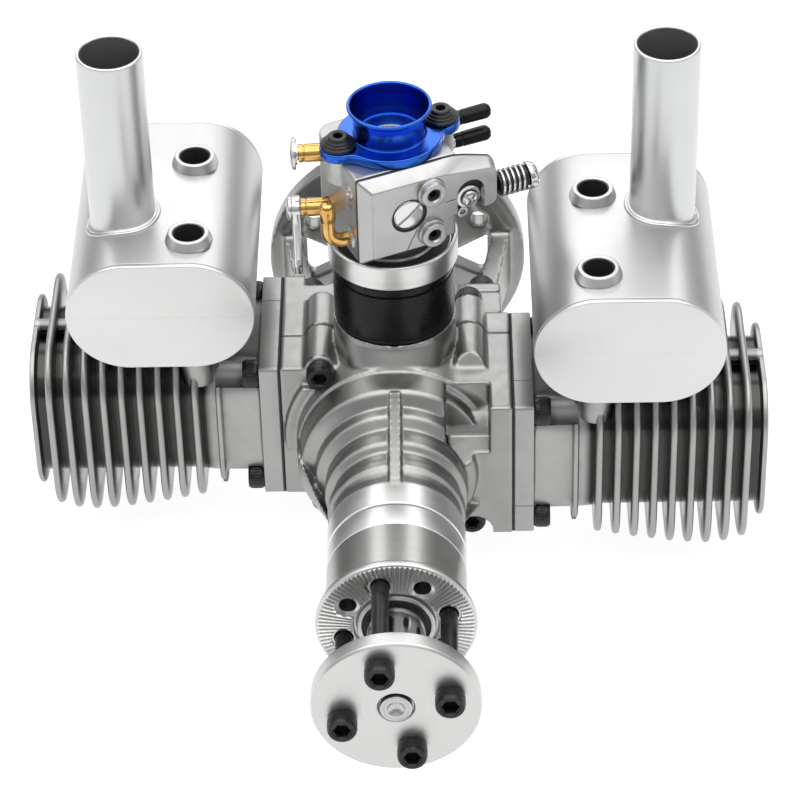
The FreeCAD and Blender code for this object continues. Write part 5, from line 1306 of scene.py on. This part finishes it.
def cover_fasteners():
    """The cross-slotted screw, its washer and the stop pin in the recess."""
    spot = (17.6, 0, 82.8)
    washer = lathe(soften([(-15.5, 1.3), (-15.5, 3.9, 0.2), (-16.4, 3.9, 0.3), (-16.6, 2.9, 0.2),
                           (-16.6, 1.3)], 0.1), spot, "Y", 56)
    pan = lathe(soften([(-14.0, 0.0, 0), (-14.0, 1.2), (-16.5, 1.3), (-16.6, 2.9, 0.3), (-17.6, 2.7, 0.5),
                        (-18.3, 1.6, 0.6), (-18.4, 0.0, 0)], 0.1), spot, "Y", 56)
    slots = [shifted(block(-2.1, 2.1, -30.0, -17.2, -0.38, 0.38), move(*spot) @ turn(angle, "Y"))
             for angle in (35.0, 125.0)]
    pin = lathe(soften([(-13.0, 0.7), (-13.0, 1.7), (-16.6, 1.7, 0.4), (-16.6, 0.8, 0.2), (-15.0, 0.7)], 0.1),
                (15.6, 0, 77.9), "Y", 32)
    return joined([washer, cut_out(pan, slots), pin])


def slotted_plug():
    disc = lathe(soften([(-17.5, 0.0, 0), (-17.5, 4.75), (-18.7, 4.75, 0.3), (-19.0, 3.9, 0.6),
                         (-19.25, 0.0, 0)], 0.1), PLUG_AT, "Y", 72)
    slot = block(-6.0, 6.0, -30.0, -18.35, -0.42, 0.42)
    return cut_out(disc, [shifted(slot, move(*PLUG_AT) @ turn(-37.0, "Y"))])


def velocity_stack():
    """The blue bell, drawn out of a flange with two ears."""
    outline = blended_outline([(0, 0, 15.5), (-EAR_X, 0, 5.6), (EAR_X, 0, 5.6)], 3.4)
    tools = [lathe([(90, 0), (90, 8.4), (98.0, 8.4), (101.5, 9.2), (110, 9.2), (110, 0)], (0, 0, 0), "Z", 96)]
    tools += [peg(90, 110, 2.05, (s * EAR_X, 0, 0), "Z", 24) for s in (-1, 1)]
    bell = lathe(soften([(99.5, 9.15), (99.5, 10.7), (100.9, 10.9, 0.1), (101.5, 10.55, 0.4),
                         (106.6, 10.75, 3.0), (108.8, 11.5, 1.6), (109.8, 12.45, 0.5), (110.5, 12.55, 0.3),
                         (110.8, 12.1, 0.25), (110.6, 11.5, 0.3), (107.5, 10.9, 3.0), (101.5, 9.9, 1.5)],
                        0.3, 6), (0, 0, 0), "Z", 144)
    return joined([cut_out(plate(outline, 98.1, 101.0, 0.45, 4), tools), bell])


def stack_fasteners():
    """Black stepped heads on the ears, each with its hexagon socket."""
    steps = soften([(99.0, 0.0, 0), (99.0, 2.0), (101.0, 2.0), (101.02, 5.1, 0.1), (101.9, 5.4, 0.3),
                    (102.3, 4.9, 0.2), (102.3, 4.55, 0.1), (102.9, 4.5, 0.2), (103.0, 3.9, 0.1),
                    (103.6, 3.8, 0.2), (103.7, 3.2, 0.1), (104.7, 3.0, 0.4), (104.7, 1.9, 0.2),
                    (104.3, 0.0, 0)], 0.1)
    socket = [(102.4, 0), (102.4, 1.55), (110, 1.75), (110, 0)]
    ears = [(s * EAR_X, 0, 0) for s in (-1, 1)]
    return joined([cut_out(lathe(steps, ear, "Z", 56), [lathe(socket, ear, "Z", 6)]) for ear in ears])


def needle(z):
    """A mixture needle: steel stem, stepped collar and long black cap."""
    spot = (0, 9.0, z)
    steel = lathe(soften([(10.1, 0.0, 0), (10.1, 1.1), (22.55, 1.1), (22.55, 2.5, 0.2), (24.2, 2.5, 0.3),
                          (24.2, 1.8, 0.1), (24.9, 1.8), (24.9, 0.0, 0)], 0.1), spot, "X", 32)
    cap = lathe(soften([(24.6, 0.0, 0), (24.6, 2.1, 0.3), (26.6, 2.3, 0.2), (27.0, 2.1, 0.1),
                        (27.4, 2.3, 0.2),
                        (35.4, 2.4, 0.9), (36.5, 1.5, 0.4), (36.5, 0.0, 0)], 0.1, 4), spot, "X", 40)
    slot = block(35.2, 40.0, 4.0, 14.0, z - 0.4, z + 0.4)
    return steel, cut_out(cap, [slot])


def coil_tree():
    """A wound spring: a spiral with a round wire, its sizes named."""
    tree, given = new_tree("wound_spring", {"Turns": ("Float", 4.0), "Coil radius": ("Float", 0.0036),
                                            "Length": ("Float", 0.0085), "Wire radius": ("Float", 0.0006)})
    spiral = tree.nodes.new("GeometryNodeCurveSpiral")
    spiral.inputs["Resolution"].default_value = 28
    section = add_node(tree, "GeometryNodeCurvePrimitiveCircle", mode="RADIUS")
    section.inputs["Resolution"].default_value = 12
    coil = tree.nodes.new("GeometryNodeCurveToMesh")
    coil.inputs["Fill Caps"].default_value = True
    wire(tree, [(given["Turns"], spiral.inputs["Rotations"]), (given["Length"], spiral.inputs["Height"]),
                (given["Coil radius"], spiral.inputs["Start Radius"]),
                (given["Coil radius"], spiral.inputs["End Radius"]),
                (given["Wire radius"], section.inputs["Radius"]), (spiral.outputs[0], coil.inputs["Curve"]),
                (section.outputs[0], coil.inputs["Profile Curve"])])
    return finish_tree(tree, given, copies(tree, given["Geometry"], coil.outputs[0]))


def idle_spring():
    mesh = run_tree(coil_tree(), as_object("spring", mesh_from("spring_place", [(0, 0, 0)], [])),
                    {"Turns": 5.2, "Coil radius": 3.75 * MM, "Length": 8.4 * MM, "Wire radius": 0.42 * MM,
                     "Finish": bright_steel})
    return weld(shifted(mesh, move(27.1, *IDLE_AT[1:]) @ turn(90, "Y")), 0.002)


def idle_screw():
    """The silver cap, and the dark stem that shows between the coils."""
    cap = lathe(soften([(36.05, 0.0, 0), (36.05, 4.2, 0.5), (37.2, 4.3, 0.6), (38.9, 3.7, 1.2),
                        (39.3, 2.2, 0.5), (39.3, 0.0, 0)], 0.2, 5), IDLE_AT, "X", 56)
    stem = soften([(26.55, 0.0, 0), (26.55, 3.4, 0.3), (35.95, 3.4, 0.3), (35.95, 0.0, 0)], 0.2)
    return cut_out(cap, [block(38.4, 45.0, -25.0, -8.0, 84.2, 85.2)]), lathe(stem, IDLE_AT, "X", 40)


def fuel_elbow():
    """A barb that leaves the carburettor, bends upwards and ends in a flare."""
    bend, start = 5.0, -19.4
    path = [(-13.9, 0), (-16.5, 0), (-18.2, 0), (start, 0)]
    path += [(start - bend * math.sin(a), bend * (1 - math.cos(a)))
             for a in (math.pi / 16 * k for k in range(1, 9))]
    path += [(start - bend, rise) for rise in (8.0, 8.3, 8.6, 12.5, 13.6, 14.2)]
    radii = [2.1] * 14 + [2.35, 2.35, 2.1, 1.5]
    return swept([(u, -9.2, 74.6 + v) for u, v in path], radii, 32)


def shaft_pieces(z, cap_radius, end):
    """The brass sleeve of a shaft, and the silver button on its end."""
    sleeve = soften([(-27.0, 2.05), (-27.0, 2.75, 0.15), (-25.6, 2.75, 0.1), (-25.5, 2.5, 0.05),
                     (-25.2, 2.5, 0.05), (-25.1, 2.75, 0.1), (-13.1, 2.75, 0.1), (-13.1, 2.05)], 0.1)
    button = soften([(end, 0.0, 0), (end, cap_radius * 0.55, 0.3), (end + 0.3, cap_radius * 0.8, 0.3),
                     (end + 0.7, cap_radius, 0.35), (end + 1.6, cap_radius, 0.3), (end + 1.7, 1.95, 0.2),
                     (11.5, 1.95, 0.2), (11.5, 0.0, 0)], 0.1)
    return lathe(sleeve, (0, 0, z), "X", 48), lathe(button, (0, 0, z), "X", 56)


def throttle_arm():
    """A blade with a long slot, hanging from the throttle shaft and pointed at its foot."""
    low, eye, half = THROTTLE_Z - 24.0, 3.7, 2.5
    side = [(-half, THROTTLE_Z), (-half, low + 5.0, 2.0), (-0.6, low, 0.6), (0.6, low, 0.6),
            (half, low + 5.0, 2.0), (half, THROTTLE_Z)]
    side += [(eye * math.cos(a), THROTTLE_Z + eye * math.sin(a))
             for a in (math.pi * k / 12 for k in range(13))]
    blade = plate(soften(side, 0.0), -29.7, -27.15, 0.35, 3, "X")
    slot = block(-28.9, -27.95, -8.0, -1.0, low + 4.6, THROTTLE_Z - 5.0)
    return cut_out(blade, [slot, peg(-35, -20, 2.0, (0, 0, THROTTLE_Z), "X", 32)])


def choke_tab():
    low, high = -28.75, -27.35
    side = [(u, CHOKE_Z + v, radius) for u, v, radius in
            ((0.0, -3.4, 0.5), (0.0, 3.4, 0.5), (3.4, 2.0, 1.2), (6.0, 1.6, 1.2), (6.0, -1.6, 1.2),
             (3.4, -2.0, 1.2))]
    return joined([plate(soften(side, 1.0, 5), low, high, 0.25, 3, "X"),
                   peg(low, high, 3.4, (0, 0, CHOKE_Z), "X", 48)])


def build_carburettor():
    def piece(name, mesh, slot, nodes=(), body="engine", material=None, sharp=32.0, place=CARB):
        finished(name, shifted(mesh, place), slot, nodes, body, material, sharp)

    piece("die_cast_carburettor", carburettor_body(), "carburettor_alloy", ["carburettor_body"], sharp=45.0)
    # the gasket between body and cover, then three dark sheets that are painted shade
    gasket_and_shade_sheets = [plate(cover_outline(0.0), -15.2, -14.3, 0.0, 1, "Y"),
             # a dark ring on the floor of the plug's pocket: painted shade in the groove
             lathe([(-17.5, 4.8), (-17.5, 5.5), (-18.6, 5.5), (-18.6, 4.8)], PLUG_AT, "Y", 64),
             # a dark ring round the throat, where the foot would show under the cover: painted shade
             lathe([(62.25, 12.0), (63.3, 12.0), (63.3, 17.4), (62.95, 17.4), (62.95, 15.4), (62.25, 15.4)],
                   (0, 0, 0), "Z", 96),
             # a dark sheet on the floor of the arched recess: painted shade
             plate(arch(4.35, 4.35, 79.3), -15.75, -15.45, 0.0, 1, "Y")]
    piece("cover_gasket_and_seals", joined(gasket_and_shade_sheets), "seal_rubber")
    piece("boss_socket_screws", boss_screws(), "black_screws")
    piece("carburettor_cover", joined([front_cover(), light_bosses()]), "carburettor_alloy",
          ["carburettor_front_cover"], sharp=30.0)
    piece("cover_fasteners", cover_fasteners(), "bright_steel", ["carburettor_screws"])
    piece("plain_slotted_plug", slotted_plug(), "bright_steel", ["carburettor_slotted_plug"])
    piece("blue_velocity_stack", velocity_stack(), "blue_anodised", ["velocity_stack"])
    piece("stack_socket_screws", stack_fasteners(), "black_screws")
    for word, z in zip(("high", "low"), NEEDLE_Z):
        steel, cap = needle(z)
        piece(word + "_speed_needle_stem", steel, "bright_steel", body=word + "_needle")
        piece(word + "_speed_needle_cap", cap, "black_plastic", [word + "_speed_needle"], word + "_needle")
    cap, stem = idle_screw()
    piece("idle_screw_cap", cap, "bright_steel", ["idle_screw"], "idle")
    piece("idle_screw_stem", stem, "black_screws", body="idle")
    piece("idle_spring_coils", idle_spring(), "bright_steel", ["idle_screw_spring"], sharp=60.0)
    piece("brass_fuel_elbow", fuel_elbow(), "brass", ["fuel_elbow"], sharp=60.0)
    sleeves = []
    for word, z, radius, end in (("throttle", THROTTLE_Z, 3.6, -31.3), ("choke", CHOKE_Z, 4.9, -29.4)):
        sleeve, button = shaft_pieces(z, radius, end)
        sleeves.append(sleeve)
        piece(word + "_shaft_button", button, "bright_steel", [word + "_shaft"], word, place=SHAFTS)
    piece("brass_shaft_sleeves", joined(sleeves), "brass", ["shaft_sleeves"], place=SHAFTS)
    piece("throttle_slotted_arm", throttle_arm(), "bright_steel", ["throttle_arm"], "throttle", place=SHAFTS)
    piece("choke_finger_lever", choke_tab(), "bright_steel", ["choke_lever"], "choke", place=SHAFTS)


# Mufflers

CAN_Z = 51.65
CAN_HALF_X, CAN_R = 28.0, 18.65
CAN_FRONT, CAN_REAR = -33.2, 43.8      # from the cylinder's axis
SEAT_Z = 43.2                          # seats of the screws in their sleeves


def can_height(x):
    """Where a can's skin is, above a place across it."""
    across = max(abs(x) - (CAN_HALF_X - CAN_R), 0.0)
    return CAN_Z + math.sqrt(max(CAN_R ** 2 - across ** 2, 0.0))


def muffler_can(side, y):
    """One can with its foot, and holes for the stack and the two sleeves."""
    loops = []
    for at, pull in ((CAN_FRONT + 1.7, 0.5), (CAN_FRONT + 1.85, 0.05), (CAN_FRONT + 2.3, 0.0),
                     (CAN_REAR - 2.3, 0.0), (CAN_REAR - 1.85, 0.05), (CAN_REAR - 1.7, 0.5)):
        outline = rounded_square(CAN_HALF_X - pull, CAN_R - pull, CAN_R - pull, 24)
        loops.append([(side * CAN_X + u, y + at, CAN_Z + v) for u, v in outline])
    foot = shifted(plate(port_outline(), 32.0, 36.5, 0.2), move(side * SLEEVE_X, y, 0))
    holes = [peg(CAN_Z, 90, 9.82, (side * STACK_X, STACK_Y, 0), "Z", 64)]
    holes += [peg(31.0, 90, 4.92, (side * SLEEVE_X, y + dy, 0), "Z", 48) for dy in (-SPREAD, SPREAD)]
    return joined([cut_out(skin(loops), holes), foot])


def weld_bead(side, radius, thick):
    """A weld that runs round the upright tube, on the curved skin of its can."""
    path = []
    for k in range(72):
        a = 2 * math.pi * k / 72
        x = side * STACK_X + radius * math.cos(a)
        path.append((x, STACK_Y + radius * math.sin(a), can_height(x - side * CAN_X) + 0.1))
    return swept(path, thick, 10, True)


def exhaust_stack(side):
    tube = lathe(soften([(CAN_Z, 8.6), (CAN_Z, 9.8), (126.6, 9.8, 0.2), (127.0, 9.5, 0.2), (127.0, 8.9, 0.2),
                         (126.6, 8.6, 0.2)], 0.1), (side * STACK_X, STACK_Y, 0), "Z", 128)
    return joined([tube, weld_bead(side, 9.9, 0.75), weld_bead(side, 10.9, 0.55)])


def build_mufflers():
    plates, sleeves, bore_shade_tubes = [], [], []
    sleeve = soften([(32.0, 2.75), (32.0, 4.9), (70.0, 4.9, 0.1), (70.0, 7.1, 0.1), (70.9, 6.95, 0.2),
                     (72.7, 6.2, 0.2), (73.2, 6.0, 0.2), (73.2, 4.85, 0.2), (72.8, 4.65, 0.1), (SEAT_Z, 4.65),
                     (SEAT_Z, 2.75)], 0.1)
    # a thin dark tube inside each sleeve's bore: painted shade, so that the bore reads black
    bore_shade_tube = [(49.0, 4.45), (72.7, 4.45), (72.7, 4.64), (49.0, 4.64)]
    for side, word, y in SIDES:
        finished("welded_can_" + word, muffler_can(side, y), "muffler_aluminium", ["muffler_can_" + word],
                 sharp=40.0)
        finished("outlet_stack_" + word, exhaust_stack(side), "muffler_aluminium", ["exhaust_stack_" + word],
                 material=drawn_tube, sharp=50.0)
        outline = [(u + side * CAN_X, v + CAN_Z) for u, v in rounded_square(CAN_HALF_X, CAN_R, CAN_R, 32)]
        for near, far in ((CAN_FRONT, CAN_FRONT + 1.6), (CAN_REAR - 1.6, CAN_REAR)):
            plates.append(plate(outline, y + near, y + far, 0.45, 4, "Y"))
        for dy in (-SPREAD, SPREAD):
            at = (side * SLEEVE_X, y + dy, 0)
            sleeves.append(lathe(sleeve, at, "Z", 64))
            bore_shade_tubes.append(lathe(bore_shade_tube, at, "Z", 48))
    finished("muffler_end_caps", joined(plates), "muffler_aluminium", ["muffler_end_plates"],
             material=end_sheet, sharp=40.0)
    finished("muffler_sleeves", joined(sleeves), "muffler_aluminium", ["muffler_screw_sleeves"], sharp=40.0)
    finished("dark_sleeve_liners", joined(bore_shade_tubes), "seal_rubber")


# Nodes that still show


def dress_nodes():
    """Every node that still shows gets its finish."""
    slots = {}
    for part in frame["record"].get("subparts", []):
        slots[part["node"]] = part["material_slot"]
    for name, obj in frame["nodes"].items():
        if name in replaced_nodes:
            continue
        obj.data.materials.clear()
        obj.data.materials.append(by_slot[slots[name]])


# Studio


def softbox(name, place, target, width, height, brightness):
    """A rectangular light with an even face."""
    light = bpy.data.lights.new(name, "AREA")
    light.shape = "RECTANGLE"
    light.size = width
    light.size_y = height
    light.energy = brightness * math.pi * width * height
    obj = bpy.data.objects.new(name, light)
    bpy.context.scene.collection.objects.link(obj)
    obj.location = place
    obj.rotation_mode = "QUATERNION"
    obj.rotation_quaternion = (Vector(target) - Vector(place)).to_track_quat("-Z", "Y")
    return obj


def studio():
    floor_z, half = cad_low.z - 0.0005, 4
    mesh = bpy.data.meshes.new("studio_floor")
    corners = [(-half, -half, floor_z), (half, -half, floor_z), (half, half, floor_z), (-half, half, floor_z)]
    mesh.from_pydata(corners, [], [(0, 1, 2, 3)])
    material, tree, shader, where = new_finish("studio_paper", (0.92, 0.92, 0.92), 0.0, 0.9)
    two_tones(tree, grain(tree, where, 40.0), (0.24, 0.24, 0.24), (0.26, 0.26, 0.26), shader)
    shader.inputs["Emission Color"].default_value = (1, 1, 1, 1)
    shader.inputs["Emission Strength"].default_value = 0.9
    floor = as_object("studio_floor", mesh, material)
    world = bpy.data.worlds.new("studio")
    bpy.context.scene.world = world
    world.use_nodes = True
    tree = world.node_tree
    # dim towards the horizon and bright overhead, as between the walls of a light tent
    sky = tree.nodes.new("ShaderNodeTexCoord")
    parts = tree.nodes.new("ShaderNodeSeparateXYZ")
    ramp = tree.nodes.new("ShaderNodeValToRGB")
    link(tree, sky.outputs["Generated"], parts.inputs["Vector"])
    link(tree, parts.outputs["Z"], ramp.inputs["Fac"])
    link(tree, ramp.outputs["Color"], tree.nodes["Background"].inputs["Color"])
    low_end, high_end = ramp.color_ramp.elements
    low_end.position, low_end.color = 0.0, (0.34, 0.34, 0.345, 1)
    high_end.position, high_end.color = 0.75, (0.9, 0.9, 0.9, 1)
    ramp.color_ramp.elements.new(0.32).color = (0.46, 0.46, 0.465, 1)
    tree.nodes["Background"].inputs["Strength"].default_value = 1.0
    softbox("top_softbox", (0.0, -0.2, 1.0), (0, -0.2, 0.0), 1.7, 1.3, 1.8)
    softbox("back_softbox", (0.0, 1.1, 0.85), (0, -0.08, 0.05), 1.6, 0.6, 1.75)
    softbox("left_strip", (-0.95, -0.25, 0.45), (0, -0.08, 0.05), 0.3, 0.7, 1.1)
    softbox("right_strip", (0.95, -0.2, 0.45), (0, -0.08, 0.05), 0.3, 0.7, 0.9)


def photo_camera():
    """The camera stands where the photograph was taken from."""
    focal, picture, sensor = 3450.0, 800, 36.0      # focal length and width in picture points, and mm
    pitch, around, roll = 38.5, 1.0, 1.5            # degrees
    aim_y, aside, far = -81.0, -3.0, 1070.0
    p, a, q = math.radians(pitch), math.radians(around), math.radians(roll)
    r = Vector((math.cos(a), math.sin(a), 0))
    u = Vector((-math.sin(a) * math.sin(p), math.cos(a) * math.sin(p), math.cos(p)))
    f = Vector((-math.sin(a) * math.cos(p), math.cos(a) * math.cos(p), -math.sin(p)))
    right = r * math.cos(q) - u * math.sin(q)
    up = u * math.cos(q) + r * math.sin(q)
    place = Vector((0, aim_y, 0)) - (f + right * (aside / focal)) * far
    camera = bpy.data.cameras.new("photo_camera")
    camera.sensor_width = sensor
    camera.lens = sensor * focal / picture
    camera.clip_start = 0.05
    camera.clip_end = 20.0
    obj = bpy.data.objects.new("photo_camera", camera)
    bpy.context.scene.collection.objects.link(obj)
    turned_to = Matrix((right, up, -f)).transposed().to_4x4()
    obj.matrix_world = Matrix.Translation(place * MM) @ turned_to
    bpy.context.scene.camera = obj


photo_camera()
studio()
build_crankcase()
build_screws()
build_cylinders()
build_propeller_drive()
build_rear_mount()
build_intake()
build_carburettor()
build_mufflers()
dress_nodes()
bpy.context.scene.view_settings.view_transform = "Standard"
